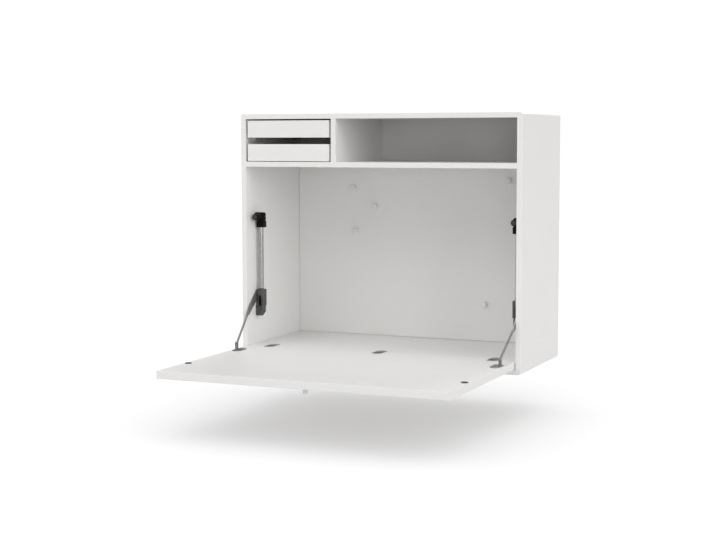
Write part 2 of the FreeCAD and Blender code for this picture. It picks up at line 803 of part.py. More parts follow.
def stay_head():
    """Black head that holds the upper end of the rod and carries the catch."""
    half = stay_head_depth / 2
    waist_low = head_low + stay_head_socket
    cap_low = waist_low + stay_head_waist
    waist_half = half - stay_head_waist_depth
    outer = -inner_x + slider_wall_gap
    socket = box(outer, head_inner, rod_y - half, rod_y + half, head_low, waist_low)
    waist = box(outer, head_inner - stay_head_waist_depth, rod_y - waist_half, rod_y + waist_half, waist_low, cap_low)
    cap = box(-inner_x, head_inner, rod_y - half, rod_y + half, cap_low, head_top)

    def shown(a, b):
        on_top = near(a.z, head_top) and near(b.z, head_top) and not (near(a.x, -inner_x) and near(b.x, -inner_x))
        upright = near(a.x, b.x) and near(a.y, b.y) and near(a.x, head_inner)
        return on_top or upright

    cap = round_edges(cap, stay_head_round, shown)
    nose = rod_along_y(catch_radius, catch_tip + catch_magnet_proud, rod_y, catch_x, catch_z)
    rim = [e for e in nose.Edges if near(e.BoundBox.YMin, catch_tip + catch_magnet_proud)
           and near(e.BoundBox.YMax, catch_tip + catch_magnet_proud)]
    nose = nose.makeFillet(edge_ease, rim)
    head = socket.fuse([waist, cap, nose]).removeSplitter()
    head = head.cut(stay_rod()).cut(catch_magnet())
    return without(head, stay_screw_tools())


def stay_screws():
    """Screws of both stays."""
    screws = []
    for spot in stay_screw_places():
        length = spot.x + inner_x + dowel_in_side
        screw = placed(wood_screw(length), Vec(0, 1, 0), 90, spot)
        screws.append(screw)
        screws.append(mirrored(screw))
    return screws


# Trays

def tray_screw_spots(low):
    """Seats of the screws that hold a tray front."""
    level = low + tray_body_height / 2
    return [Vec(x, tray_body_front + tray_sheet, level)
            for x in (tray_left + tray_screw_inset, tray_right - tray_screw_inset)]


def tray_screw(spot):
    """Pan head screw from inside the tray into its front."""
    head = rod_along_y(screw_head_radius, spot.y, spot.y + screw_head_height, spot.x, spot.z)
    shank = rod_along_y(screw_radius, tray_body_front - tray_front_thickness / 2, spot.y, spot.x, spot.z)
    return head.fuse(shank).removeSplitter()


def tray_screws(low):
    """Both screws of one tray."""
    return [tray_screw(spot) for spot in tray_screw_spots(low)]


def tray_front(low):
    """Plain front of a tray."""
    front = box(tray_left, tray_right, tray_front_y, tray_body_front, low, low + tray_front_height)

    def face(a, b):
        return near(a.y, tray_front_y) and near(b.y, tray_front_y)

    return without(round_edges(front, edge_ease, face), tray_screws(low))


def tray_body(low):
    """Folded sheet tray, open at the top."""
    left = tray_left + tray_body_inset
    right = tray_right - tray_body_inset
    outer = box(left, right, tray_body_front, tray_body_rear, low, low + tray_body_height)
    inner = box(left + tray_sheet, right - tray_sheet, tray_body_front + tray_sheet,
                tray_body_rear - tray_sheet, low + tray_sheet, low + tray_body_height + board)
    return without(outer.cut(inner), tray_screws(low))


def tray_runners():
    """Strips that carry the upper tray."""
    high = upper_tray_low - tray_seat_gap
    front = tray_front_y + runner_setback
    strips = [box(-inner_x, -inner_x + runner_width, front, hanging_front, high - runner_height, high),
              box(divider_left - runner_width, divider_left, front, hanging_front, high - runner_height, high)]
    return [without(strip, runner_screws(screw_hole)) for strip in strips]


def tray_glides():
    """Glide strips under the lower tray."""
    strips = []
    for x in (tray_left + glide_inset, tray_right - glide_inset - glide_width):
        strips.append(box(x, x + glide_width, tray_body_front, tray_body_rear,
                          shelf_top + tray_seat_gap, lower_tray_low))
    return strips


# Rails

def wall_rail():
    """Hooked rail that is screwed to the wall."""
    half = wall_rail_length / 2
    top = wall_rail_height / 2
    plate = box(-half, half, -rail_gauge, 0, -top, top)
    web = box(-half, half, -rail_standoff - rail_gauge, 0, top - rail_gauge, top)
    lip = box(-half, half, -rail_standoff - rail_gauge, -rail_standoff, top - rail_gauge, wall_lip_top)
    rail = plate.fuse([web, lip]).removeSplitter()
    for x in (-wall_hole_pitch_x / 2, wall_hole_pitch_x / 2):
        for z in (-wall_hole_pitch_z / 2, wall_hole_pitch_z / 2):
            rail = rail.cut(rod_along_y(wall_hole_radius, -board, board, x, z))
    return rail


def cabinet_rail():
    """Rail on the hanging board; its lip hooks behind the wall rail's lip."""
    half = cabinet_rail_length / 2
    lip_front = -rail_standoff + rail_fit
    lip_low = wall_rail_height / 2 + rail_fit
    plate = box(-half, half, -rail_recess, -rail_recess + rail_gauge, cabinet_web_low,
                cabinet_web_low + cabinet_rail_height)
    web = box(-half, half, -rail_recess, lip_front + rail_gauge, cabinet_web_low, cabinet_web_low + rail_gauge)
    lip = box(-half, half, lip_front, lip_front + rail_gauge, lip_low, cabinet_web_low + rail_gauge)
    rail = plate.fuse([web, lip]).removeSplitter()
    return without(rail, [rail_screw(x, z) for x, z in rail_screw_spots()])


# Write every node

save("left_side_panel", [without(side_panel(), runner_screws(screw_hole))])
save("right_side_panel", [mirrored(side_panel())])
save("top_panel", [top_panel()])
save("bottom_panel", [bottom_panel()])
save("shelf", [shelf()])
save("divider", [divider()])
save("hanging_board", [rear_board()])
save("back_panel", [back_panel()])
save("floor_board", [floor_board()])
save("carcass_dowels", dowels())
save("magnet_board", [magnet_board()])
save("board_spacers", board_spacers())
save("board_magnets", board_magnets())
save("wall_rail", [wall_rail()])
save("cabinet_rail", [cabinet_rail()])
save("cabinet_rail_screws", [rail_screw(x, z) for x, z in rail_screw_spots()])
save("tray_runners", tray_runners())
save("tray_runner_screws", runner_screws(wood_screw))
save("hinge_floor_leaves", [hinge_floor_leaf(x) for x in hinge_places()])
save("hinge_flap_leaves", [hinge_flap_leaf(x) for x in hinge_places()])
save("hinge_pins", [hinge_pin(x) for x in hinge_places()])
save("hinge_floor_screws", leaf_screws(hinge_floor_reach, 1))
save("hinge_flap_screws", leaf_screws(hinge_flap_reach, -1))
save("flap_panel", [flap_panel()])
save("flap_knob", [flap_knob()])
save("flap_knob_stud", [knob_stud()])
save("strike_discs", strike_discs())
save("strike_screws", strike_screws())
save("stay_bracket_screws", bracket_screws())
save("stay_bracket_pins", [stay_bracket_pin(), mirrored(stay_bracket_pin())])
save("stay_screws", stay_screws())
save("catch_magnets", [catch_magnet(), mirrored(catch_magnet())])
save("upper_tray_front", [tray_front(upper_tray_low)])
save("upper_tray_body", [tray_body(upper_tray_low)])
save("upper_tray_screws", tray_screws(upper_tray_low))
save("lower_tray_front", [tray_front(lower_tray_low)])
save("lower_tray_body", [tray_body(lower_tray_low)])
save("lower_tray_screws", tray_screws(lower_tray_low))
save("lower_tray_glides", tray_glides())

stay_pieces = {"stay_bracket": stay_bracket, "stay_arm": stay_arm, "stay_arm_rivet": stay_arm_rivet,
               "stay_slider": stay_slider, "stay_rod": stay_rod, "stay_foot": stay_foot, "stay_head": stay_head}
for piece_name, make_piece in stay_pieces.items():
    piece = make_piece()
    save("left_" + piece_name, [piece])
    save("right_" + piece_name, [mirrored(piece)])

print("axis y, z", round(axis_y, 3), round(axis_z, 3), "surface z", round(surface_z, 3))
print("cabinet from", round(cabinet_low, 3), "to", round(cabinet_top, 3), "flap front edge y", round(lip_y, 3))
print("arm foot y, z", round(arm_foot_y, 3), round(arm_foot_z, 3), "turn", round(arm_turn, 4))
print("slider travel", round(slider_travel, 4), "stay clearance", round(head_low - slider_top - slider_travel, 3))
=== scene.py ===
"""Fold down wall desk: finishes, modelled surfaces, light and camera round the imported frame.

Metres. +X runs to the right, +Y into the wall and +Z up. The origin lies in the middle of the wall rail's
holes.
"""

import json
import logging
import math
from collections.abc import Callable
from dataclasses import dataclass
from enum import Enum, IntEnum

import bmesh
import bpy
from mathutils import Euler, Matrix, Vector

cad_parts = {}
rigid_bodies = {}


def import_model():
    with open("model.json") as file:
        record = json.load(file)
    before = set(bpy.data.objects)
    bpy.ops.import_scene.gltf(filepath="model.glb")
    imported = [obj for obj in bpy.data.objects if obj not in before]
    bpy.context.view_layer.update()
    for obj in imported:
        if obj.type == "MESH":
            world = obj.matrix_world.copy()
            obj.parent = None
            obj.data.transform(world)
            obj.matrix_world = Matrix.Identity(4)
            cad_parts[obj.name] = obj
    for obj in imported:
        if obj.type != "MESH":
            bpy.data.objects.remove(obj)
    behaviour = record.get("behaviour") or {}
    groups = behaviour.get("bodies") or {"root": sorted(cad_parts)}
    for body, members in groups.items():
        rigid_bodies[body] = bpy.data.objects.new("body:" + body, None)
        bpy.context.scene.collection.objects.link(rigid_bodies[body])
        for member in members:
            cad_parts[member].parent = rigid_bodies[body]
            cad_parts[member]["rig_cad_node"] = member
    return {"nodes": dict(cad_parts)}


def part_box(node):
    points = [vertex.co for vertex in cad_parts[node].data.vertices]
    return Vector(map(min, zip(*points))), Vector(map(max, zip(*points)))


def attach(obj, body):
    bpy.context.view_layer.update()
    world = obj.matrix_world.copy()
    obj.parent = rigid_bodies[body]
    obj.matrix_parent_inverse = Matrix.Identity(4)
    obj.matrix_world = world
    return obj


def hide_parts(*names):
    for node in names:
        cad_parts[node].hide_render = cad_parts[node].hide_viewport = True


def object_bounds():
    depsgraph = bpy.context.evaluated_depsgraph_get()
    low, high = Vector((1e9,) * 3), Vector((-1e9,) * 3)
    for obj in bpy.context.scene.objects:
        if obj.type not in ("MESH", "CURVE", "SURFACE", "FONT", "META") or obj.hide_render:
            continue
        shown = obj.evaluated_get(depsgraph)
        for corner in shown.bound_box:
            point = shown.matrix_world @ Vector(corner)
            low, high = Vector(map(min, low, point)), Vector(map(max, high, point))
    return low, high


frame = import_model()
cad_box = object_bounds()

MM = 0.001
FULL_ROUND = 0.999  # share of a half width that a full rounding takes, so that its sides don't meet
SAME_WAY = 0.99  # cosine above which two directions count as one
log = logging.getLogger("wall_desk")

Place = tuple[Vector, Vector]
EdgeTest = Callable[[Vector, Vector], bool]
FaceTest = Callable[[Vector, Vector], bool]


class Side(Enum):
    """The two sides of the desk, as the sign of X."""

    LEFT = -1
    RIGHT = 1

    @property
    def word(self) -> str:
        """The side's name as the frame's nodes use it."""
        return self.name.lower()


class Body(Enum):
    """The bodies that pieces ride on."""

    CABINET = "cabinet"
    FLAP = "flap"
    UPPER_TRAY = "upper_tray"
    LOWER_TRAY = "lower_tray"
    LEFT_ARM = "left_stay_arm"
    RIGHT_ARM = "right_stay_arm"
    LEFT_SLIDER = "left_stay_slider"
    RIGHT_SLIDER = "right_stay_slider"


class Facets(IntEnum):
    """Facets round a turned shape."""

    BAR = 32
    BORE = 40
    EYE = 48
    DISC = 64


class Grain(Enum):
    """Direction that brushing, drawing or wood grain runs in, as the stretch of its noise."""

    ALONG_X = (0.02, 1.0, 1.0)
    ALONG_Y = (1.0, 0.02, 1.0)
    ALONG_Z = (1.0, 1.0, 0.02)
    ROUND = (1.0, 1.0, 1.0)


def near(a: float, b: float, reach: float = 2e-5) -> bool:
    """True where two lengths are the same to within a few hundredths of a millimetre."""
    return abs(a - b) < reach


def in_plane(axis: str, level: float) -> EdgeTest:
    """A test for edges that lie in one plane.

    Args:
        axis: The axis that stands square to the plane: x, y or z.
        level: The plane's place on it.

    Returns:
        The test of an edge's two ends.
    """
    return lambda a, b: near(getattr(a, axis), level) and near(getattr(b, axis), level)


def along(axis: str) -> EdgeTest:
    """A test for edges that run along one axis.

    Args:
        axis: The axis: x, y or z.

    Returns:
        The test of an edge's two ends.
    """
    across = [other for other in "xyz" if other != axis]
    return lambda a, b: all(near(getattr(a, other), getattr(b, other)) for other in across)


def both(first: EdgeTest, second: EdgeTest) -> EdgeTest:
    """A test for edges that two tests take."""
    return lambda a, b: first(a, b) and second(a, b)


def toned(tone: float, warmth: float = 0.0) -> tuple[float, float, float, float]:
    """A near grey colour with a little warmth, as linear red, green, blue and alpha."""
    return (tone * (1 + warmth), tone, tone * (1 - warmth), 1.0)


# Node groups that several finishes share


class NodeGroup:
    """A shader node group with named sockets, filled by its maker."""

    def __init__(self, name: str) -> None:
        """Starts an empty group with its input and output nodes.

        Args:
            name: The group's name.
        """
        self.tree = bpy.data.node_groups.new(name, "ShaderNodeTree")
        self.inside = self.tree.nodes.new("NodeGroupInput")
        self.outside = self.tree.nodes.new("NodeGroupOutput")

    def socket(self, name: str, way: str, kind: str, start: float | None = None) -> None:
        """Adds a named socket.

        Args:
            name: The socket's name.
            way: INPUT or OUTPUT.
            kind: Float, Vector or Color.
            start: The value that a float input starts from.
        """
        made = self.tree.interface.new_socket(name=name, in_out=way, socket_type=f"NodeSocket{kind}")
        if start is not None:
            made.default_value = start

    def node(self, kind: str, **settings: object) -> bpy.types.Node:
        """Adds a node and sets its properties.

        Args:
            kind: The node's type, without the ShaderNode prefix.
            **settings: Property names and values.

        Returns:
            The new node.
        """
        made = self.tree.nodes.new(f"ShaderNode{kind}")
        for name, value in settings.items():
            setattr(made, name, value)
        return made

    def link(self, source: bpy.types.NodeSocket, target: bpy.types.NodeSocket) -> None:
        """Joins two sockets."""
        self.tree.links.new(source, target)


def make_grain_group() -> bpy.types.NodeTree:
    """Fine surface texture: a stretched noise for height, and a slow cloud that varies it.

    Returns:
        The group, with Height and Cloud outputs from 0 to 1.
    """
    group = NodeGroup("surface_grain")
    group.socket("Vector", "INPUT", "Vector")
    group.socket("Stretch", "INPUT", "Vector")
    group.socket("Grain Scale", "INPUT", "Float", 900.0)
    group.socket("Cloud Scale", "INPUT", "Float", 9.0)
    group.socket("Detail", "INPUT", "Float", 3.0)
    group.socket("Height", "OUTPUT", "Float")
    group.socket("Cloud", "OUTPUT", "Float")
    stretched = group.node("VectorMath", operation="MULTIPLY")
    group.link(group.inside.outputs["Vector"], stretched.inputs[0])
    group.link(group.inside.outputs["Stretch"], stretched.inputs[1])
    fine = group.node("TexNoise")
    group.link(stretched.outputs["Vector"], fine.inputs["Vector"])
    group.link(group.inside.outputs["Grain Scale"], fine.inputs["Scale"])
    group.link(group.inside.outputs["Detail"], fine.inputs["Detail"])
    slow = group.node("TexNoise")
    group.link(group.inside.outputs["Vector"], slow.inputs["Vector"])
    group.link(group.inside.outputs["Cloud Scale"], slow.inputs["Scale"])
    group.link(fine.outputs["Fac"], group.outside.inputs["Height"])
    group.link(slow.outputs["Fac"], group.outside.inputs["Cloud"])
    return group.tree


def make_marks_group() -> bpy.types.NodeTree:
    """Light use marks: sparse smudges that change roughness and darken a finish slightly.

    Returns:
        The group, with a Smudge mask and a Tint multiplier.
    """
    group = NodeGroup("use_marks")
    group.socket("Vector", "INPUT", "Vector")
    group.socket("Scale", "INPUT", "Float", 14.0)
    group.socket("Amount", "INPUT", "Float", 0.5)
    group.socket("Smudge", "OUTPUT", "Float")
    group.socket("Tint", "OUTPUT", "Float")
    patches = group.node("TexNoise")
    patches.inputs["Detail"].default_value = 5.0
    patches.inputs["Roughness"].default_value = 0.62
    group.link(group.inside.outputs["Vector"], patches.inputs["Vector"])
    group.link(group.inside.outputs["Scale"], patches.inputs["Scale"])
    cut = group.node("MapRange", interpolation_type="SMOOTHSTEP")
    cut.inputs["From Min"].default_value = 0.52
    cut.inputs["From Max"].default_value = 0.78
    group.link(patches.outputs["Fac"], cut.inputs["Value"])
    scaled = group.node("Math", operation="MULTIPLY")
    group.link(cut.outputs["Result"], scaled.inputs[0])
    group.link(group.inside.outputs["Amount"], scaled.inputs[1])
    tint = group.node("MapRange")
    tint.inputs["To Min"].default_value = 1.0
    tint.inputs["To Max"].default_value = 0.965
    group.link(scaled.outputs["Value"], tint.inputs["Value"])
    group.link(scaled.outputs["Value"], group.outside.inputs["Smudge"])
    group.link(tint.outputs["Result"], group.outside.inputs["Tint"])
    return group.tree


@dataclass(frozen=True)
class SharedGroups:
    """The node groups that the finishes place in their materials."""

    grain: bpy.types.NodeTree
    marks: bpy.types.NodeTree


@dataclass(frozen=True)
class Finish:
    """A surface finish, built as one procedural material.

    Every finish has a colour that clouds a little, a grain that gives its height, and use marks in its gloss.
    """

    name: str
    slot: str
    tone: float
    warmth: float = 0.0
    roughness: float = 0.5
    roughness_spread: float = 0.08
    metallic: float = 0.0
    coat: float = 0.0
    grain: Grain = Grain.ROUND
    grain_scale: float = 900.0
    grain_height: float = 0.02
    cloud_scale: float = 9.0
    cloud_depth: float = 0.03
    marks: float = 0.4
    specular: float = 0.5
    coat_roughness: float = 0.12
    bump_strength: float = 0.5
    cloud_start: float = 0.3
    cloud_end: float = 0.7

    def build(self, groups: SharedGroups) -> bpy.types.Material:
        """Makes the material.

        Args:
            groups: The shared node groups.

        Returns:
            The new material.
        """
        material = bpy.data.materials.new(self.name)
        material.use_nodes = True
        nodes, links = material.node_tree.nodes, material.node_tree.links
        shader = nodes["Principled BSDF"]
        shader.inputs["Metallic"].default_value = self.metallic
        shader.inputs["Coat Weight"].default_value = self.coat
        shader.inputs["Coat Roughness"].default_value = self.coat_roughness
        shader.inputs["Specular IOR Level"].default_value = self.specular
        place = nodes.new("ShaderNodeTexCoord")
        grain = nodes.new("ShaderNodeGroup")
        grain.node_tree = groups.grain
        grain.inputs["Stretch"].default_value = self.grain.value
        grain.inputs["Grain Scale"].default_value = self.grain_scale
        grain.inputs["Cloud Scale"].default_value = self.cloud_scale
        marks = nodes.new("ShaderNodeGroup")
        marks.node_tree = groups.marks
        marks.inputs["Amount"].default_value = self.marks
        links.new(place.outputs["Object"], grain.inputs["Vector"])
        links.new(place.outputs["Object"], marks.inputs["Vector"])
        self._colour(nodes, links, grain, marks, shader)
        self._gloss(nodes, links, grain, marks, shader)
        bump = nodes.new("ShaderNodeBump")
        bump.inputs["Strength"].default_value = self.bump_strength
        bump.inputs["Distance"].default_value = self.grain_height * MM
        links.new(grain.outputs["Height"], bump.inputs["Height"])
        links.new(bump.outputs["Normal"], shader.inputs["Normal"])
        return material

    def _colour(
        self,
        nodes: bpy.types.Nodes,
        links: bpy.types.NodeLinks,
        grain: bpy.types.Node,
        marks: bpy.types.Node,
        shader: bpy.types.Node,
    ) -> None:
        """Clouds the base colour between two close tones, and tints it under the use marks.

        Args:
            nodes: The material's nodes.
            links: The material's links.
            grain: The grain group's node.
            marks: The use marks group's node.
            shader: The material's shader.
        """
        ramp = nodes.new("ShaderNodeValToRGB")
        ramp.color_ramp.elements[0].position = self.cloud_start
        ramp.color_ramp.elements[0].color = toned(self.tone * (1 - self.cloud_depth), self.warmth)
        ramp.color_ramp.elements[1].position = self.cloud_end
        ramp.color_ramp.elements[1].color = toned(self.tone, self.warmth)
        links.new(grain.outputs["Cloud"], ramp.inputs["Fac"])
        tint = nodes.new("ShaderNodeMix")
        tint.data_type = "RGBA"
        tint.blend_type = "MULTIPLY"
        tint.inputs["Factor"].default_value = 1.0
        links.new(ramp.outputs["Color"], tint.inputs["A"])
        links.new(marks.outputs["Tint"], tint.inputs["B"])
        links.new(tint.outputs["Result"], shader.inputs["Base Color"])

    def _gloss(
        self,
        nodes: bpy.types.Nodes,
        links: bpy.types.NodeLinks,
        grain: bpy.types.Node,
        marks: bpy.types.Node,
        shader: bpy.types.Node,
    ) -> None:
        """Varies the roughness with the grain, and dulls it under the use marks.

        Args:
            nodes: The material's nodes.
            links: The material's links.
            grain: The grain group's node.
            marks: The use marks group's node.
            shader: The material's shader.
        """
        spread = nodes.new("ShaderNodeMapRange")
        spread.inputs["To Min"].default_value = self.roughness - self.roughness_spread / 2
        spread.inputs["To Max"].default_value = self.roughness + self.roughness_spread / 2
        links.new(grain.outputs["Height"], spread.inputs["Value"])
        dulled = nodes.new("ShaderNodeMath")
        dulled.operation = "MULTIPLY_ADD"
        dulled.inputs[1].default_value = self.roughness_spread
        links.new(marks.outputs["Smudge"], dulled.inputs[0])
        links.new(spread.outputs["Result"], dulled.inputs[2])
        links.new(dulled.outputs["Value"], shader.inputs["Roughness"])


@dataclass(frozen=True)
class BeechFinish(Finish):
    """Plain beech, with growth rings across its grain."""

    ring_scale: float = 160.0
    ring_waver: float = 4.0
    late_wood: tuple[float, float, float, float] = (0.42, 0.27, 0.15, 1.0)
    early_wood: tuple[float, float, float, float] = (0.6, 0.42, 0.25, 1.0)

    def _colour(
        self,
        nodes: bpy.types.Nodes,
        links: bpy.types.NodeLinks,
        grain: bpy.types.Node,
        marks: bpy.types.Node,
        shader: bpy.types.Node,
    ) -> None:
        """Bands the colour like growth rings.

        Args:
            nodes: The material's nodes.
            links: The material's links.
            grain: The grain group's node; not used.
            marks: The use marks group's node; not used.
            shader: The material's shader.
        """
        place = nodes.new("ShaderNodeTexCoord")
        rings = nodes.new("ShaderNodeTexWave")
        rings.inputs["Scale"].default_value = self.ring_scale
        rings.inputs["Distortion"].default_value = self.ring_waver
        links.new(place.outputs["Object"], rings.inputs["Vector"])
        ramp = nodes.new("ShaderNodeValToRGB")
        ramp.color_ramp.elements[0].color = self.late_wood
        ramp.color_ramp.elements[1].color = self.early_wood
        links.new(rings.outputs["Fac"], ramp.inputs["Fac"])
        links.new(ramp.outputs["Color"], shader.inputs["Base Color"])


class PaintShop:
    """Holds the finishes and lays them on pieces and on the frame's own nodes."""

    def __init__(self) -> None:
        """Makes every finish's material once."""
        groups = SharedGroups(make_grain_group(), make_marks_group())
        self.finishes = {finish.name: finish for finish in self._range()}
        self.materials = {name: finish.build(groups) for name, finish in self.finishes.items()}

    @staticmethod
    def _range() -> list[Finish]:
        """The finishes that the desk is made in.

        Returns:
            One finish for each kind of surface.
        """
        return [
            Finish("white_lacquer", "lacquer", 0.8, 0.012, 0.42, 0.06, grain_scale=700, grain_height=0.02,
                   cloud_depth=0.012, marks=0.3),
            Finish("powder_coat", "board_steel", 0.825, 0.014, 0.55, 0.1, grain_scale=1500,
                   grain_height=0.05, cloud_depth=0.015, marks=0.35),
            Finish("white_plastic", "white_plastic", 0.8, 0.01, 0.36, 0.08, grain_scale=2200,
                   grain_height=0.01, cloud_depth=0.02, marks=0.5, coat=0.15),
            Finish("pale_plastic", "runner_plastic", 0.62, 0.01, 0.4, 0.12, grain_scale=1800,
                   grain_height=0.015),
            Finish("black_nylon", "black_plastic", 0.003, 0.0, 0.5, 0.16, grain_scale=2600,
                   grain_height=0.03, cloud_depth=0.2, marks=0.6, specular=0.12),
            Finish("hinge_nickel", "hinge_steel", 0.3, 0.01, 0.4, 0.14, metallic=1.0, grain=Grain.ALONG_Y,
                   grain_scale=2400, grain_height=0.012, cloud_depth=0.1, marks=0.6),
            Finish("dark_nickel", "hinge_steel", 0.05, 0.0, 0.5, 0.1, metallic=0.5, specular=0.25,
                   grain_scale=2400, grain_height=0.01, cloud_depth=0.1, marks=0.5),
            Finish("tray_enamel", "board_steel", 0.92, 0.01, 0.5, 0.08, grain_scale=1500,
                   grain_height=0.04, cloud_depth=0.01, marks=0.3),
            Finish("cast_zinc", "cast_zinc", 0.125, -0.01, 0.32, 0.1, metallic=0.8, grain_scale=1300,
                   grain_height=0.03, cloud_scale=40, cloud_depth=0.15, marks=0.7),
            Finish("plated_arm", "hinge_steel", 0.28, 0.0, 0.36, 0.1, metallic=0.7, grain=Grain.ALONG_Z,
                   grain_scale=2400, grain_height=0.01, cloud_depth=0.06, marks=0.5),
            Finish("drawn_rod", "rod_steel", 0.46, 0.0, 0.2, 0.1, metallic=1.0, grain=Grain.ALONG_Z,
                   grain_scale=3000, grain_height=0.006, cloud_depth=0.04),
            Finish("zinc_screw", "screw_steel", 0.5, 0.01, 0.32, 0.14, metallic=1.0, grain_scale=2600,
                   grain_height=0.01, cloud_scale=120, cloud_depth=0.2),
            Finish("magnet_ferrite", "magnet_steel", 0.035, 0.0, 0.55, 0.12, grain_scale=2400,
                   grain_height=0.02, cloud_depth=0.15),
            Finish("rail_aluminium", "rail_aluminium", 0.62, 0.0, 0.36, 0.16, metallic=1.0,
                   grain=Grain.ALONG_X, grain_scale=1500, grain_height=0.02, cloud_depth=0.05),
            BeechFinish("beech", "dowel_wood", 0.5, roughness=0.6, grain=Grain.ALONG_X, grain_scale=900,
                        grain_height=0.04),
        ]

    def paint(self, piece: bpy.types.Object, name: str) -> None:
        """Gives a piece or a node one finish all over.

        Args:
            piece: The object.
            name: The finish's name.
        """
        piece.data.materials.clear()
        piece.data.materials.append(self.materials[name])


# Modelling by hand


class Bench:
    """Modelling steps: a primitive at its place, then edit mode, booleans and modifiers."""

    smooth_up_to = 35.0
    same_place = 1e-6

    @staticmethod
    def activate(piece: bpy.types.Object) -> None:
        """Selects one object alone and makes it active.

        Args:
            piece: The object.
        """
        bpy.ops.object.select_all(action="DESELECT")
        piece.select_set(True)
        bpy.context.view_layer.objects.active = piece

    @staticmethod
    def settle(piece: bpy.types.Object, name: str) -> bpy.types.Object:
        """Names a fresh primitive and puts its place into its mesh.

        Args:
            piece: The primitive.
            name: The piece's name.

        Returns:
            The same object.
        """
        piece.name = name
        piece.data.name = name
        Bench.activate(piece)
        bpy.ops.object.transform_apply(location=True, rotation=True, scale=True)
        return piece

    @staticmethod
    def block(name: str, low: Vector, high: Vector) -> bpy.types.Object:
        """A box between two corners.

        Args:
            name: The piece's name.
            low: Lowest corner.
            high: Highest corner.

        Returns:
            The new object.
        """
        size = Vector(abs(span) for span in high - low)
        bpy.ops.mesh.primitive_cube_add(size=1, location=(low + high) / 2, scale=size)
        return Bench.settle(bpy.context.object, name)

    @staticmethod
    def round_bar(
        name: str, radius: float, start: Vector, end: Vector, sides: Facets = Facets.DISC
    ) -> bpy.types.Object:
        """A cylinder between two points.

        Args:
            name: The piece's name.
            radius: Its radius.
            start: Centre of one end.
            end: Centre of the other end.
            sides: The facets round it.

        Returns:
            The new object.
        """
        line = end - start
        turn = line.to_track_quat("Z", "Y").to_euler()
        bpy.ops.mesh.primitive_cylinder_add(
            vertices=sides, radius=radius, depth=line.length, location=(start + end) / 2, rotation=turn
        )
        return Bench.settle(bpy.context.object, name)

    @staticmethod
    def stadium(name: str, centre: Vector, width: float, length: float, height: float) -> bpy.types.Object:
        """A plate with two half round ends, long in Y, standing on its centre.

        Args:
            name: The piece's name.
            centre: Middle of its underside.
            width: Size in X.
            length: Size in Y.
            height: Thickness in Z.

        Returns:
            The new object.
        """
        plate = Bench.round_bar(name, width / 2, centre, centre + Vector((0, 0, height)))
        stretch = (length - width) / 2
        for side in (-1, 1):
            Bench.activate(plate)
            bpy.ops.object.mode_set(mode="EDIT")
            Bench.choose_points(plate, lambda p: (p.y - centre.y) * side > Bench.same_place)
            bpy.ops.transform.translate(value=(0, side * stretch, 0))
            bpy.ops.object.mode_set(mode="OBJECT")
        return plate

    @staticmethod
    def choose_points(piece: bpy.types.Object, wanted: Callable[[Vector], bool]) -> int:
        """Selects vertices by their place, in edit mode.

        Args:
            piece: The object in edit mode.
            wanted: Test of a vertex's place.

        Returns:
            How many were selected.
        """
        bpy.ops.mesh.select_all(action="DESELECT")
        bpy.ops.mesh.select_mode(type="VERT")
        mesh = bmesh.from_edit_mesh(piece.data)
        count = 0
        for vertex in mesh.verts:
            vertex.select = wanted(vertex.co)
            count += vertex.select
        mesh.select_flush(True)
        bmesh.update_edit_mesh(piece.data)
        return count

    @staticmethod
    def choose_edges(piece: bpy.types.Object, wanted: EdgeTest) -> int:
        """Selects edges by the place of their ends, in edit mode.

        Args:
            piece: The object in edit mode.
            wanted: Test of the two ends.

        Returns:
            How many were selected.
        """
        bpy.ops.mesh.select_all(action="DESELECT")
        bpy.ops.mesh.select_mode(type="EDGE")
        mesh = bmesh.from_edit_mesh(piece.data)
        count = 0
        for edge in mesh.edges:
            edge.select = wanted(edge.verts[0].co, edge.verts[1].co)
            count += edge.select
        mesh.select_flush_mode()
        bmesh.update_edit_mesh(piece.data)
        return count

    @staticmethod
    def choose_faces(piece: bpy.types.Object, wanted: FaceTest) -> int:
        """Selects faces by their middle and normal, in edit mode.

        Args:
            piece: The object in edit mode.
            wanted: Test of middle and normal.

        Returns:
            How many were selected.
        """
        bpy.ops.mesh.select_all(action="DESELECT")
        bpy.ops.mesh.select_mode(type="FACE")
        mesh = bmesh.from_edit_mesh(piece.data)
        count = 0
        for face in mesh.faces:
            face.select = wanted(face.calc_center_median(), face.normal)
            count += face.select
        mesh.select_flush_mode()
        bmesh.update_edit_mesh(piece.data)
        return count

    @staticmethod
    def round_edges(piece: bpy.types.Object, radius: float, steps: int, wanted: EdgeTest) -> None:
        """Rounds chosen edges.

        Args:
            piece: The object.
            radius: Radius of the rounding.
            steps: Segments across it.
            wanted: Test of an edge's two ends.
        """
        Bench.activate(piece)
        bpy.ops.object.mode_set(mode="EDIT")
        if Bench.choose_edges(piece, wanted):
            bpy.ops.mesh.bevel(offset=radius, offset_type="OFFSET", segments=steps, affect="EDGES")
        else:
            log.warning("no edge to round on %s", piece.name)
        bpy.ops.object.mode_set(mode="OBJECT")

    @staticmethod
    def cut(piece: bpy.types.Object, tool: bpy.types.Object) -> None:
        """Cuts a tool out of a piece and throws the tool away."""
        Bench._combine(piece, tool, "DIFFERENCE")

    @staticmethod
    def weld(piece: bpy.types.Object, tool: bpy.types.Object) -> None:
        """Joins a second shape to a piece as one skin."""
        Bench._combine(piece, tool, "UNION")

    @staticmethod
    def _combine(piece: bpy.types.Object, tool: bpy.types.Object, how: str) -> None:
        """Applies a boolean and removes its tool.

        Args:
            piece: The object that stays.
            tool: The object that is used up.
            how: DIFFERENCE or UNION.
        """
        Bench.activate(piece)
        step = piece.modifiers.new("combine", "BOOLEAN")
        step.operation = how
        step.solver = "EXACT"
        step.object = tool
        bpy.ops.object.modifier_apply(modifier=step.name)
        bpy.data.objects.remove(tool)

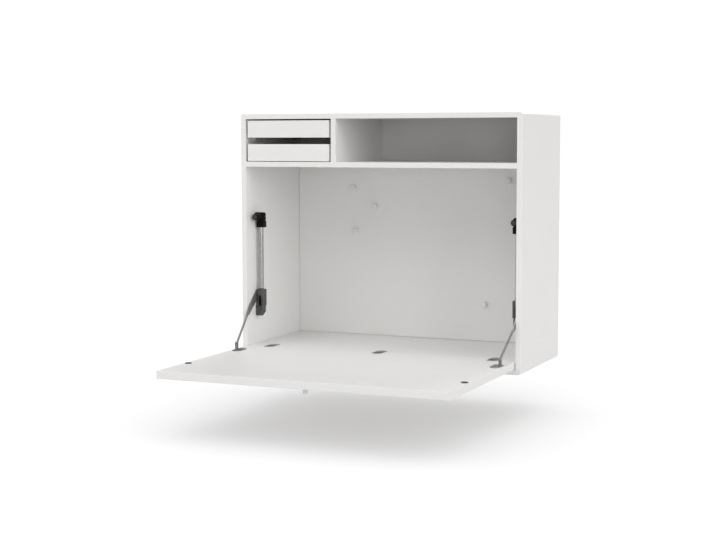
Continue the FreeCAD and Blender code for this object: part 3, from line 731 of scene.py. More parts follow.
    @staticmethod
    def smooth(piece: bpy.types.Object) -> None:
        """Smooths the shading so that flat faces stay flat beside their rounded edges.

        Args:
            piece: The object.
        """
        Bench.activate(piece)
        bpy.ops.object.shade_smooth_by_angle(angle=math.radians(Bench.smooth_up_to))
        weighted = piece.modifiers.new("weighted", "WEIGHTED_NORMAL")
        weighted.keep_sharp = True
        bpy.ops.object.modifier_apply(modifier=weighted.name)

    @staticmethod
    def dish(piece: bpy.types.Object, facing: Vector, border: float, depth: float) -> None:
        """Sinks the middle of a flat end a little.

        Args:
            piece: The object.
            facing: Direction that the end faces.
            border: Width left round it.
            depth: How far the middle goes in.
        """
        Bench.activate(piece)
        bpy.ops.object.mode_set(mode="EDIT")
        mesh = bmesh.from_edit_mesh(piece.data)
        reach = max(face.calc_center_median().dot(facing) for face in mesh.faces)
        Bench.choose_faces(
            piece, lambda middle, normal: near(middle.dot(facing), reach) and normal.dot(facing) > SAME_WAY
        )
        bpy.ops.mesh.inset(thickness=border, depth=0)
        bpy.ops.mesh.inset(thickness=border, depth=-depth)
        bpy.ops.object.mode_set(mode="OBJECT")

    @staticmethod
    def countersink(low: Vector, high: Vector) -> bpy.types.Object:
        """The room that an upright countersunk screw takes.

        Args:
            low: Lowest corner of the screw.
            high: Highest corner of the screw.

        Returns:
            The cutting tool.
        """
        radius = (high.x - low.x) / 2
        head = radius * 2 / 3
        middle = (low + high) / 2
        bpy.ops.mesh.primitive_cone_add(
            vertices=Facets.BORE, radius1=radius / 2, radius2=radius * 1.5, depth=head * 2,
            location=(middle.x, middle.y, high.z),
        )
        cone = Bench.settle(bpy.context.object, "countersink")
        start = Vector((middle.x, middle.y, low.z))
        end = Vector((middle.x, middle.y, high.z - head / 2))
        Bench.weld(cone, Bench.round_bar("shank", radius / 2, start, end, Facets.BORE))
        return cone

    @staticmethod
    def copy_to(piece: bpy.types.Object, name: str, shift: Vector) -> bpy.types.Object:
        """A moved copy with a mesh of its own.

        Args:
            piece: The shape to copy.
            name: The copy's name.
            shift: How far it moves.

        Returns:
            The copy, with its place in its mesh.
        """
        twin = piece.copy()
        twin.data = piece.data.copy()
        bpy.context.scene.collection.objects.link(twin)
        twin.location = shift
        return Bench.settle(twin, name)

    @staticmethod
    def solids(node: str) -> list[Place]:
        """The corners of each separate solid of a frame node.

        Args:
            node: The node's name.

        Returns:
            Lowest and highest corner of each solid, from left to right.
        """
        source = frame["nodes"][node]
        spare = bpy.data.objects.new("measured", source.data.copy())
        bpy.context.scene.collection.objects.link(spare)
        Bench.activate(spare)
        bpy.ops.object.mode_set(mode="EDIT")
        bpy.ops.mesh.select_all(action="SELECT")
        bpy.ops.mesh.remove_doubles(threshold=Bench.same_place)
        bpy.ops.mesh.separate(type="LOOSE")
        bpy.ops.object.mode_set(mode="OBJECT")
        places = []
        for part in list(bpy.context.selected_objects):
            corners = [Vector(corner) for corner in part.bound_box]
            low = Vector(map(min, *corners))
            high = Vector(map(max, *corners))
            places.append((low, high))
            bpy.data.objects.remove(part)
        return sorted(places, key=lambda place: (round(place[0].x, 5), place[0].y, place[0].z))


@dataclass
class SubAssembly:
    """A group of pieces that the shop paints and the frame carries."""

    shop: PaintShop

    def place(self, piece: bpy.types.Object, finish: str, body: Body, *nodes: str) -> bpy.types.Object:
        """Paints a new piece, lets it ride on its body and stand for its nodes.

        Args:
            piece: The new piece.
            finish: The finish's name.
            body: The body that carries it.
            *nodes: The frame nodes that it stands for.

        Returns:
            The same object.
        """
        self.shop.paint(piece, finish)
        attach(piece, body.value)
        if nodes:
            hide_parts(*nodes)
        log.info("%s: %d faces in %s on %s", piece.name, len(piece.data.polygons), finish, body.value)
        return piece

    def dress(self, finish: str, *nodes: str) -> None:
        """Gives nodes whose own shape shows a finish.

        Args:
            finish: The finish's name.
            *nodes: The frame nodes.
        """
        for node in nodes:
            self.shop.paint(frame["nodes"][node], finish)
            log.info("%s: frame node in %s", node, finish)


@dataclass
class Carcass(SubAssembly):
    """The cabinet's boards: glued, lacquered as one, and rounded along the four outer edges."""

    outer_round: float = 6.5 * MM
    front_ease: float = 0.9 * MM
    inner_ease: float = 0.35 * MM
    recess_gap: float = 0.15 * MM

    def build(self) -> None:
        """Builds every board and dresses those whose own shape shows."""
        for side in Side:
            self._side_panel(side)
        for node in ("top_panel", "bottom_panel", "shelf"):
            self._level_board(node)
        self._divider()
        self._floor_board()
        self.dress("white_lacquer", "hanging_board", "back_panel")
        self.dress("beech", "carcass_dowels")

    def _side_panel(self, side: Side) -> None:
        """One side panel with its two outer long edges rounded.

        Args:
            side: Which side.
        """
        node = f"{side.word}_side_panel"
        low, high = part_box(node)
        outer, inner = (low.x, high.x) if side is Side.LEFT else (high.x, low.x)
        panel = Bench.block(f"{side.word}_side_lacquered", low, high)
        in_front, at_inner = in_plane("y", low.y), in_plane("x", inner)

        def long_outer(a: Vector, b: Vector) -> bool:
            """Edges that run from front to wall along the outside."""
            return near(a.x, outer) and near(b.x, outer) and near(a.z, b.z)

        def front_rim(a: Vector, b: Vector) -> bool:
            """The front face's edges apart from the inner one."""
            return in_front(a, b) and not at_inner(a, b)

        Bench.round_edges(panel, self.outer_round, 8, long_outer)
        Bench.round_edges(panel, self.front_ease, 3, front_rim)
        Bench.round_edges(panel, self.inner_ease, 2, both(in_front, at_inner))
        Bench.smooth(panel)
        self.place(panel, "white_lacquer", Body.CABINET, node)

    def _level_board(self, node: str) -> None:
        """A board between the side panels, eased along its front.

        Args:
            node: The frame node that it stands for.
        """
        low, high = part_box(node)
        board = Bench.block(f"{node}_lacquered", low, high)
        for level, outside in ((low.z, node == "bottom_panel"), (high.z, node == "top_panel")):
            ease = self.front_ease if outside else self.inner_ease
            Bench.round_edges(board, ease, 3, both(in_plane("y", low.y), in_plane("z", level)))
        Bench.smooth(board)
        self.place(board, "white_lacquer", Body.CABINET, node)

    def _divider(self) -> None:
        """The upright between the trays and the open niche."""
        low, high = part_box("divider")
        board = Bench.block("divider_lacquered", low, high)
        Bench.round_edges(board, self.inner_ease, 3, both(in_plane("y", low.y), along("z")))
        Bench.smooth(board)
        self.place(board, "white_lacquer", Body.CABINET, "divider")

    def _floor_board(self) -> None:
        """The raised floor, let in for the hinge leaves with a hairline round each."""
        low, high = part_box("floor_board")
        board = Bench.block("floor_board_lacquered", low, high)
        Bench.round_edges(board, self.inner_ease, 3, both(in_plane("y", low.y), in_plane("z", high.z)))
        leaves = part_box("hinge_floor_leaves")
        for pin in Bench.solids("hinge_pins"):
            Bench.cut(board, Hinges.plate("floor_recess", pin, leaves, 1, self.recess_gap))
        Bench.smooth(board)
        self.place(board, "white_lacquer", Body.CABINET, "floor_board")


@dataclass
class MagneticBoard(SubAssembly):
    """The white steel sheet at the back of the writing bay, with its loose round magnets."""

    corner: float = 2.5 * MM
    sheet_ease: float = 0.5 * MM
    rim: float = 2.4 * MM
    dish_inset: float = 1.4 * MM
    dish_depth: float = 0.35 * MM

    def build(self) -> None:
        """Builds the sheet and the magnets."""
        low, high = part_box("magnet_board")
        sheet = Bench.block("magnet_board_coated", low, high)
        Bench.round_edges(sheet, self.corner, 5, along("y"))
        Bench.round_edges(sheet, self.sheet_ease, 3, in_plane("y", low.y))
        Bench.smooth(sheet)
        self.place(sheet, "powder_coat", Body.CABINET, "magnet_board")
        self.dress("white_plastic", "board_spacers")
        self._magnets()

    def _magnets(self) -> None:
        """Turns one magnet and copies it to the places of the others."""
        spots = Bench.solids("board_magnets")
        low, high = spots[0]
        middle, radius = (low + high) / 2, (high.x - low.x) / 2
        rear, face = (Vector((middle.x, level, middle.z)) for level in (high.y, low.y))
        first = Bench.round_bar("board_magnet_1", radius, rear, face)
        Bench.round_edges(first, self.rim, 6, in_plane("y", low.y))
        Bench.dish(first, Vector((0, -1, 0)), self.dish_inset, self.dish_depth)
        Bench.smooth(first)
        made = [first]
        for number, (other_low, _) in enumerate(spots[1:], start=2):
            made.append(Bench.copy_to(first, f"board_magnet_{number}", other_low - low))
        for magnet in made:
            self.place(magnet, "white_plastic", Body.CABINET)
        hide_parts("board_magnets")


@dataclass
class Hinges(SubAssembly):
    """Three let-in hinges: a leaf on the raised floor, a leaf on the flap and a pin through both."""

    leaf: float = 3.0 * MM
    clear: float = 5.5 * MM
    knuckle: float = 4.0 * MM
    middle_knuckle: float = 11.0 * MM
    knuckle_gap: float = 0.4 * MM
    edge: float = 0.3 * MM
    recess_run: float = 1.2 * MM

    @staticmethod
    def plate(name: str, pin: Place, box: Place, way: int, grow: float = 0.0) -> bpy.types.Object:
        """A leaf's plate with its half round end, or the room for it.

        Args:
            name: The shape's name.
            pin: Corners of the hinge's pin.
            box: Corners of all the leaves on that side.
            way: +1 for the floor's side and -1 for the flap's.
            grow: How much larger than the leaf it is all round.

        Returns:
            The new object.
        """
        middle = (pin[0] + pin[1]) / 2
        half = pin[1].x - middle.x + grow
        far = (box[1].y if way > 0 else box[0].y) + way * grow
        start = middle.y + way * (Hinges.clear - (Hinges.recess_run if grow else 0))
        surface = box[1].z
        corner = Vector((middle.x - half, start, surface - Hinges.leaf - grow))
        other = Vector((middle.x + half, far, surface + (Hinges.leaf if grow else 0)))
        made = Bench.block(name, corner, other)
        Bench.round_edges(made, half * FULL_ROUND, 20, both(along("z"), in_plane("y", far)))
        return made

    def build(self) -> None:
        """Builds one leaf of each kind, copies it along the axis and dresses pins and screws."""
        pins = Bench.solids("hinge_pins")
        half_middle = self.middle_knuckle / 2
        half_width = (pins[0][1].x - pins[0][0].x) / 2
        outer = [(-half_width, -half_middle - self.knuckle_gap), (half_middle + self.knuckle_gap, half_width)]
        self._leaves("floor", 1, outer, pins, Body.CABINET)
        self._leaves("flap", -1, [(-half_middle, half_middle)], pins, Body.FLAP)
        self.dress("zinc_screw", "hinge_floor_screws", "hinge_flap_screws")
        self.dress("hinge_nickel", "hinge_pins")

    def _leaves(
        self, where: str, way: int, spans: list[tuple[float, float]], pins: list[Place], body: Body
    ) -> None:
        """The leaves on one side of the axis.

        Args:
            where: The side's name.
            way: +1 towards the wall, -1 towards the flap's free edge.
            spans: X spans of the knuckles, from the hinge's middle.
            pins: Corners of the three pins.
            body: The body that carries the leaves.
        """
        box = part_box(f"hinge_{where}_leaves")
        low, high = pins[0]
        axis = (low + high) / 2
        first = self.plate(f"hinge_{where}_leaf_1", pins[0], box, way)
        on_top = in_plane("z", box[1].z)

        def shown(a: Vector, b: Vector) -> bool:
            """The plate's top edges apart from the one towards the pin."""
            return on_top(a, b) and not (near(a.y, b.y) and near(a.y, axis.y + way * self.clear))

        Bench.round_edges(first, self.edge, 3, shown)
        for start, end in spans:
            Bench.weld(first, self._knuckle(axis, start, end, way))
        for spot_low, spot_high in Bench.solids(f"hinge_{where}_screws"):
            if abs((spot_low.x + spot_high.x) / 2 - axis.x) < high.x - low.x:
                Bench.cut(first, Bench.countersink(spot_low, spot_high))
        Bench.smooth(first)
        made = [first]
        for number, (other, _) in enumerate(pins[1:], start=2):
            made.append(Bench.copy_to(first, f"hinge_{where}_leaf_{number}", Vector((other.x - low.x, 0, 0))))
        for leaf in made:
            self.place(leaf, "hinge_nickel", body)
        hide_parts(f"hinge_{where}_leaves")

    def _knuckle(self, axis: Vector, start: float, end: float, way: int) -> bpy.types.Object:
        """A rolled knuckle with the web that joins it to its plate.

        Args:
            axis: Middle of the hinge's pin.
            start: Where it starts in X, from the middle.
            end: Where it ends in X, from the middle.
            way: +1 for the floor's leaf and -1 for the flap's.

        Returns:
            The new shape.
        """
        near_end = axis + Vector((start, 0, 0))
        far_end = axis + Vector((end, 0, 0))
        barrel = Bench.round_bar("barrel", self.knuckle, near_end, far_end, Facets.BORE)
        Bench.round_edges(barrel, self.edge, 2, lambda a, b: near(a.x, b.x))
        web = Bench.block(
            "web",
            near_end + Vector((self.edge, 0, self.knuckle - self.leaf + self.edge / 2)),
            far_end + Vector((-self.edge, way * (self.clear + self.edge), self.knuckle - self.edge)),
        )
        Bench.weld(barrel, web)
        return barrel


@dataclass
class Flap(SubAssembly):
    """The drop front, open as a writing surface, with its knob, strikes and stay brackets."""

    rim: float = 0.9 * MM
    corner_ease: float = 0.45 * MM
    heel_round: float = 6.0 * MM
    pocket_gap: float = 0.4 * MM
    pocket_floor: float = 0.6 * MM
    recess_gap: float = 0.15 * MM
    pocket_front: float = 5.5 * MM
    strike_edge: float = 0.5 * MM
    knob_edge: float = 1.2 * MM
    knob_dish: float = 0.4 * MM

    def build(self) -> None:
        """Builds the panel and the fittings that turn with it."""
        self._panel()
        self._knob()
        self._strikes()
        self.dress("zinc_screw", "stay_bracket_screws", "flap_knob_stud")
        self.dress("dark_nickel", "strike_screws")
        self.dress("hinge_nickel", "stay_bracket_pins")

    def _panel(self) -> None:
        """The panel with its rounded heel, hinge pockets and let-in leaves."""
        low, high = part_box("flap_panel")
        panel = Bench.block("flap_panel_lacquered", low, high)
        Bench.round_edges(panel, self.heel_round, 8, both(in_plane("y", high.y), in_plane("z", low.z)))
        Bench.round_edges(panel, self.rim, 4, in_plane("y", low.y))

        def side_rim(a: Vector, b: Vector) -> bool:
            """The edges along the panel's two sides."""
            return along("y")(a, b) and near(abs(a.x), high.x)

        Bench.round_edges(panel, self.corner_ease, 3, side_rim)
        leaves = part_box("hinge_flap_leaves")
        for pin in Bench.solids("hinge_pins"):
            Bench.cut(panel, self._pocket(pin, high))
            Bench.cut(panel, Hinges.plate("flap_recess", pin, leaves, -1, self.recess_gap))
        Bench.smooth(panel)
        self.place(panel, "white_lacquer", Body.FLAP, "flap_panel")

    def _pocket(self, pin: Place, high: Vector) -> bpy.types.Object:
        """The room in the heel for one hinge's knuckles.

        Args:
            pin: Corners of the pin.
            high: Highest corner of the panel.

        Returns:
            The cutting tool.
        """
        axis = (pin[0] + pin[1]) / 2
        depth = axis.z - Hinges.knuckle - self.pocket_floor
        side = Vector((self.pocket_gap, 0, 0))
        corner = Vector((pin[0].x, axis.y - self.pocket_front, depth)) - side
        other = Vector((pin[1].x, high.y + self.heel_round, high.z + self.heel_round)) + side
        return Bench.block("hinge_pocket", corner, other)

    @staticmethod
    def _disc(name: str, low: Vector, high: Vector) -> bpy.types.Object:
        """An upright turned disc that fills a box.

        Args:
            name: The piece's name.
            low: Lowest corner.
            high: Highest corner.

        Returns:
            The new object.
        """
        middle = (low + high) / 2
        foot, top = (Vector((middle.x, middle.y, level)) for level in (low.z, high.z))
        return Bench.round_bar(name, (high.x - low.x) / 2, foot, top)

    def _knob(self) -> None:
        """The round knob on the outer face near the free edge."""
        low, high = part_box("flap_knob")
        knob = self._disc("flap_knob_turned", low, high)
        Bench.round_edges(knob, self.knob_edge, 5, in_plane("z", low.z))
        Bench.dish(knob, Vector((0, 0, -1)), self.knob_edge, self.knob_dish)
        Bench.smooth(knob)
        self.place(knob, "white_plastic", Body.FLAP, "flap_knob")

    def _strikes(self) -> None:
        """The steel discs that the catch magnets hold."""
        spots = Bench.solids("strike_discs")
        screws = Bench.solids("strike_screws")
        low, high = spots[0]
        first = self._disc("strike_disc_1", low, high)
        Bench.round_edges(first, self.strike_edge, 3, in_plane("z", high.z))
        Bench.cut(first, Bench.countersink(*screws[0]))
        Bench.smooth(first)
        second = Bench.copy_to(first, "strike_disc_2", spots[1][0] - low)
        for disc in (first, second):
            self.place(disc, "dark_nickel", Body.FLAP)
        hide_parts("strike_discs")


@dataclass
class Stay(SubAssembly):
    """One flap stay: bracket, arm, slider on its rod, foot block and the head that catches the flap."""

    side: Side = Side.LEFT
    plate_edge: float = 0.35 * MM
    ear: float = 1.4 * MM
    ear_gap: float = 1.5 * MM
    ear_round: float = 3.18 * MM
    fork_floor: float = 11.7 * MM
    bracket_plate: float = 1.5 * MM
    bar_radius: float = 2.6 * MM
    eye_radius: float = 3.2 * MM
    tongue: float = 2.4 * MM
    top_eye: float = 10.0 * MM
    arm_plate: float = 2.5 * MM
    neck: float = 84.0 * MM
    shoulder: float = 98.0 * MM
    shoulder_half: float = 7.0 * MM
    flatten: float = 13.0 * MM
    bar_wall_gap: float = 0.2 * MM
    rod_gap: float = 0.05 * MM
    bore_overrun: float = 2.4 * MM
    block_round: float = 2.4 * MM
    slot_width: float = 6.0 * MM
    slot_height: float = 25.0 * MM
    slot_depth: float = 2.0 * MM
    slot_round: float = 2.7 * MM
    # Sizes of the black strip that paints shade into the slider's slot.
    strip_gap: float = 0.2 * MM
    strip_round: float = 2.52 * MM
    strip_edge: float = 0.1 * MM
    strip_thickness: float = 0.6 * MM
    wall_step: float = 4.0 * MM
    foot_slope: float = 9.0 / 15.0
    foot_cut: float = 9.0 * MM
    foot_round: float = 1.2 * MM
    head_round: float = 5.0 * MM
    head_edge: float = 0.7 * MM
    socket_height: float = 15.5 * MM
    waist: float = 2.5 * MM
    waist_depth: float = 1.8 * MM
    nose_radius: float = 7.5 * MM
    nose_round: float = 1.6 * MM
    magnet_proud: float = 1.0 * MM

    def build(self) -> None:
        """Builds and dresses the whole stay."""
        word = self.side.word
        self.arm_body = Body[f"{word.upper()}_ARM"]
        self.slider_body = Body[f"{word.upper()}_SLIDER"]
        self.rod_low, self.rod_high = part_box(self._name("stay_rod"))
        self.rod_axis = (self.rod_low + self.rod_high) / 2
        self.rod_radius = (self.rod_high.x - self.rod_low.x) / 2
        self._bracket()
        self._arm()
        self._slider()
        self._foot()
        self._head()
        self.dress("drawn_rod", self._name("stay_rod"))
        self.dress("hinge_nickel", self._name("stay_arm_rivet"))

    def _name(self, piece: str) -> str:
        """A piece's or node's name with its side."""
        return f"{self.side.word}_{piece}"

    def _bracket(self) -> None:
        """The plate on the flap with the fork that holds the arm's lower eye."""
        low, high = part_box(self._name("stay_bracket"))
        pin_low, pin_high = self._pin()
        pivot = (pin_low + pin_high) / 2
        middle = Vector(((low.x + high.x) / 2, (low.y + high.y) / 2, low.z))
        width, length = high.x - low.x, high.y - low.y
        bracket = Bench.stadium(self._name("bracket_plate"), middle, width, length, self.bracket_plate)
        Bench.round_edges(bracket, self.plate_edge, 3, in_plane("z", low.z + self.bracket_plate))
        half = self.ear_gap + self.ear
        base = Bench.block(
            "fork_base", Vector((pivot.x - half, pivot.y - self.eye_radius, low.z + self.plate_edge)),
            Vector((pivot.x + half, pivot.y + self.eye_radius, low.z + self.fork_floor)),
        )
        Bench.round_edges(base, self.plate_edge, 3, along("z"))
        ear_low = Vector((pivot.x - half, pivot.y - self.eye_radius, low.z + self.fork_floor / 2))
        ear_high = Vector((pivot.x - self.ear_gap, pivot.y + self.eye_radius, pivot.z + self.eye_radius))
        ear = Bench.block("fork_ear", ear_low, ear_high)
        Bench.round_edges(ear, self.ear_round, 12, both(in_plane("z", ear_high.z), along("x")))
        twin = Bench.copy_to(ear, "fork_ear_twin", Vector((half + self.ear_gap, 0, 0)))
        for part in (base, ear, twin):
            Bench.weld(bracket, part)
        for spot in Bench.solids("stay_bracket_screws"):
            if abs((spot[0].x + spot[1].x) / 2 - middle.x) < width:
                Bench.cut(bracket, Bench.countersink(*spot))
        Bench.smooth(bracket)
        self.place(bracket, "hinge_nickel", Body.FLAP, self._name("stay_bracket"))

    def _pin(self) -> Place:
        """Corners of this side's bracket pin."""
        pins = Bench.solids("stay_bracket_pins")
        return pins[0] if self.side is Side.LEFT else pins[-1]

    def _arm(self) -> None:
        """The arm: an eye in the fork, a round bar pressed flat towards the slider, and a large upper eye."""
        sign = self.side.value
        pin_low, pin_high = self._pin()
        foot = (pin_low + pin_high) / 2
        rivet_low, rivet_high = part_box(self._name("stay_arm_rivet"))
        rivet = (rivet_low + rivet_high) / 2
        wall_x, _ = self._wall_and_inner(*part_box(self._name("stay_arm")))
        plate_x = wall_x - sign * self.arm_plate
        middle_x = (wall_x + plate_x) / 2
        length = math.hypot(rivet.y - foot.y, rivet.z - foot.z)
        bar_start = Vector((foot.x, self.eye_radius * 2, 0))
        bar_end = Vector((wall_x - sign * (self.bar_radius + self.bar_wall_gap), self.neck, 0))
        bar = Bench.round_bar("arm_bar", self.bar_radius, bar_start, bar_end, Facets.BAR)
        self._press_end(bar, bar_end, Vector((middle_x - bar_end.x, self.flatten, 0)), self.arm_plate)
        self._press_end(bar, bar_start, Vector((0, -self.eye_radius, 0)), self.tongue)
        arm = self._arm_plate(wall_x, plate_x, length)
        wall_end, plate_end = (Vector((x, length, 0)) for x in (wall_x, plate_x))
        top = Bench.round_bar("arm_eye", self.top_eye, wall_end, plate_end)
        low_eye = self._across("arm_low_eye", self.eye_radius, foot.x, self.tongue / 2, Facets.EYE)
        for eye in (top, low_eye):
            Bench.round_edges(eye, self.plate_edge, 3, lambda a, b: near(a.x, b.x))
        for part in (top, bar, low_eye):
            Bench.weld(arm, part)
        hole_radius = (pin_high.y - pin_low.y) / 2 + self.rod_gap
        Bench.cut(arm, self._across("eye_hole", hole_radius, foot.x, self.eye_radius, Facets.BORE))
        arm.rotation_euler = Euler((math.atan2(rivet.z - foot.z, rivet.y - foot.y), 0, 0))
        arm.location = Vector((0, foot.y, foot.z))
        Bench.settle(arm, self._name("arm_forged"))
        Bench.smooth(arm)
        self.place(arm, "plated_arm", self.arm_body, self._name("stay_arm"))

    @staticmethod
    def _across(name: str, radius: float, x: float, half: float, sides: Facets) -> bpy.types.Object:
        """A round bar laid along X through the arm's lower pivot, before the arm is put in its place.

        Args:
            name: The shape's name.
            radius: Its radius.
            x: Its middle in X.
            half: Half its length.
            sides: The facets round it.

        Returns:
            The new shape.
        """
        return Bench.round_bar(name, radius, Vector((x - half, 0, 0)), Vector((x + half, 0, 0)), sides)

    def _arm_plate(self, wall_x: float, plate_x: float, length: float) -> bpy.types.Object:
        """The flat part of the arm, widening from the neck to the upper eye.

        Args:
            wall_x: Its face towards the side panel.
            plate_x: Its other face.
            length: Distance between the arm's two pivots.

        Returns:
            The new shape, laid along Y.
        """
        plate = Bench.block(
            "arm_plate", Vector((wall_x, self.neck, -self.bar_radius)),
            Vector((plate_x, length, self.bar_radius)),
        )
        Bench.activate(plate)
        bpy.ops.object.mode_set(mode="EDIT")
        bpy.ops.mesh.select_all(action="SELECT")
        bpy.ops.mesh.bisect(plane_co=(0, self.shoulder, 0), plane_no=(0, 1, 0))
        for reach, half in ((self.shoulder, self.shoulder_half), (length, self.top_eye - self.plate_edge)):
            Bench.choose_points(plate, lambda p: near(p.y, reach))
            bpy.ops.transform.resize(value=(1, 1, half / self.bar_radius), center_override=(wall_x, reach, 0))
        bpy.ops.object.mode_set(mode="OBJECT")
        Bench.round_edges(plate, self.plate_edge, 3, lambda a, b: not near(a.y, b.y))
        return plate

    def _press_end(self, bar: bpy.types.Object, end: Vector, step: Vector, thickness: float) -> None:
        """Draws one end of the round bar out and presses it flat.

        Args:
            bar: The bar.
            end: Middle of the end face.
            step: How far the end is drawn out.
            thickness: Its thickness in X once pressed.
        """
        Bench.activate(bar)
        bpy.ops.object.mode_set(mode="EDIT")
        Bench.choose_faces(bar, lambda middle, normal: (middle - end).length < self.bar_radius / 4)
        bpy.ops.mesh.extrude_region_move(TRANSFORM_OT_translate={"value": step})
        bpy.ops.transform.resize(
            value=(thickness / (2 * self.bar_radius), 1, 1), center_override=tuple(end + step)
        )
        bpy.ops.object.mode_set(mode="OBJECT")

    def _slider(self) -> None:
        """The die-cast housing that runs on the rod."""
        low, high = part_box(self._name("stay_slider"))
        slider = Bench.block(self._name("slider_cast"), low, high)
        Bench.round_edges(slider, self.block_round, 6, along("z"))
        Bench.round_edges(slider, self.block_round, 6, in_plane("z", high.z))
        Bench.round_edges(slider, self.plate_edge, 3, in_plane("z", low.z))
        foot = Vector(((low.x + high.x) / 2, low.y + self.slot_depth, low.z))
        half = self.slot_width / 2
        slot = Bench.block(
            "slot", foot + Vector((-half, -self.slot_depth - self.block_round, -self.slot_width)),
            foot + Vector((half, 0, self.slot_height)),
        )
        Bench.round_edges(slot, self.slot_round, 8, along("y"))
        Bench.cut(slider, slot)
        self._bore(slider, low.z - self.bore_overrun, high.z + self.bore_overrun, self.rod_gap)
        Bench.smooth(slider)
        self.place(slider, "cast_zinc", self.slider_body, self._name("stay_slider"))
        # The black strip in the slot is painted shade.
        self._slot_strip(foot)

    def _slot_strip(self, foot: Vector) -> None:
        """A black strip at the bottom of the slider's slot: painted shade that makes the slot read dark.

        Args:
            foot: Middle of the slot's bottom, at its open lower end.
        """
        half = self.slot_width / 2 - self.strip_gap
        strip = Bench.block(
            self._name("slot_strip"), foot + Vector((-half, -self.strip_thickness, self.strip_gap)),
            foot + Vector((half, 0, self.slot_height - self.strip_gap)),
        )
        Bench.round_edges(strip, self.strip_round, 8, both(along("y"), lambda a, b: a.z > foot.z + half))
        Bench.round_edges(strip, self.strip_edge, 2, in_plane("y", foot.y - self.strip_thickness))
        Bench.smooth(strip)
        self.place(strip, "black_nylon", self.slider_body)

    def _bore(self, piece: bpy.types.Object, low: float, high: float, gap: float) -> None:
        """Bores a piece for the guide rod.

        Args:
            piece: The piece.
            low: Where the bore starts in Z.
            high: Where it ends in Z.
            gap: Room round the rod.
        """
        start, end = (Vector((self.rod_axis.x, self.rod_axis.y, level)) for level in (low, high))
        Bench.cut(piece, Bench.round_bar("bore", self.rod_radius + gap, start, end))

    def _foot(self) -> None:
        """The block that holds the rod's lower end, with its flange and the slanting cut below its rear."""
        low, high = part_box(self._name("stay_foot"))
        wall, inner = self._wall_and_inner(low, high)
        step = self.wall_step
        foot = Bench.block(
            self._name("foot_cast"), Vector((inner, low.y, low.z)), Vector((wall, high.y, high.z))
        )
        corner = Bench.block(
            "foot_step", Vector((wall - step, low.y - step, low.z - step)),
            Vector((wall + step, low.y + step, high.z + step)),
        )
        Bench.cut(foot, corner)
        Bench.activate(foot)
        bpy.ops.object.mode_set(mode="EDIT")
        bpy.ops.mesh.select_all(action="SELECT")
        bpy.ops.mesh.bisect(
            plane_co=(0, high.y, low.z + self.foot_cut), plane_no=(0, self.foot_slope, -1),
            use_fill=True, clear_outer=True,
        )
        bpy.ops.object.mode_set(mode="OBJECT")
        at_inner, in_front = in_plane("x", inner), in_plane("y", low.y)
        Bench.round_edges(foot, self.foot_round, 4, lambda a, b: at_inner(a, b) or in_front(a, b))
        self._bore(foot, self.rod_low.z, high.z + self.bore_overrun, 0.0)
        Bench.smooth(foot)
        self.place(foot, "cast_zinc", Body.CABINET, self._name("stay_foot"))

    def _wall_and_inner(self, low: Vector, high: Vector) -> tuple[float, float]:
        """X of a stay part's face towards the side panel, and of its opposite face.

        Args:
            low: Lowest corner of the part.
            high: Highest corner of the part.

        Returns:
            Both places.
        """
        return (low.x, high.x) if self.side is Side.LEFT else (high.x, low.x)

    def _head(self) -> None:
        """The moulded head: a socket for the rod, a narrow waist, a domed cap and the catch's nose."""
        low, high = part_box(self._name("stay_head"))
        wall, inner = self._wall_and_inner(low, high)
        rear = high.y
        front = 2 * self.rod_axis.y - rear
        waist_low = low.z + self.socket_height
        cap_low = waist_low + self.waist
        head = Bench.block(
            self._name("head_moulded"), Vector((wall, front, cap_low)), Vector((inner, rear, high.z))
        )
        on_top, at_wall = in_plane("z", high.z), in_plane("x", wall)
        inner_upright = both(in_plane("x", inner), along("z"))

        def shown(a: Vector, b: Vector) -> bool:
            """The cap's top edges and its upright edges away from the side panel."""
            return inner_upright(a, b) or (on_top(a, b) and not at_wall(a, b))

        Bench.round_edges(head, self.head_round, 8, shown)
        Bench.round_edges(head, self.head_edge, 3, in_plane("z", cap_low))
        outer = wall - self.side.value * self.wall_step
        socket = Bench.block("socket", Vector((outer, front, low.z)), Vector((inner, rear, waist_low)))
        Bench.round_edges(socket, self.block_round, 6, along("z"))
        Bench.round_edges(socket, self.head_edge, 3, lambda a, b: near(a.z, b.z))
        deep = Vector((0, self.waist_depth, 0))
        waist = Bench.block(
            "waist", Vector((outer, front, waist_low - self.plate_edge)) + deep,
            Vector((inner + self.side.value * self.waist_depth, rear, cap_low + self.plate_edge)) - deep,
        )
        Bench.round_edges(waist, self.block_round, 4, along("z"))
        for part in (waist, socket, self._nose()):
            Bench.weld(head, part)
        self._bore(head, low.z - self.bore_overrun, self.rod_high.z, 0.0)
        Bench.smooth(head)
        self.place(head, "black_nylon", Body.CABINET, self._name("stay_head"))

    def _nose(self) -> bpy.types.Object:
        """The round nose that holds the catch's magnet at its tip.

        Returns:
            The new shape.
        """
        magnets = Bench.solids("catch_magnets")
        low, high = magnets[0] if self.side is Side.LEFT else magnets[-1]
        magnet = (low + high) / 2
        tip = low.y + self.magnet_proud
        root, end = (Vector((magnet.x, y, magnet.z)) for y in (self.rod_axis.y, tip))
        nose = Bench.round_bar("nose", self.nose_radius, root, end)
        Bench.round_edges(nose, self.nose_round, 5, in_plane("y", tip))
        return nose


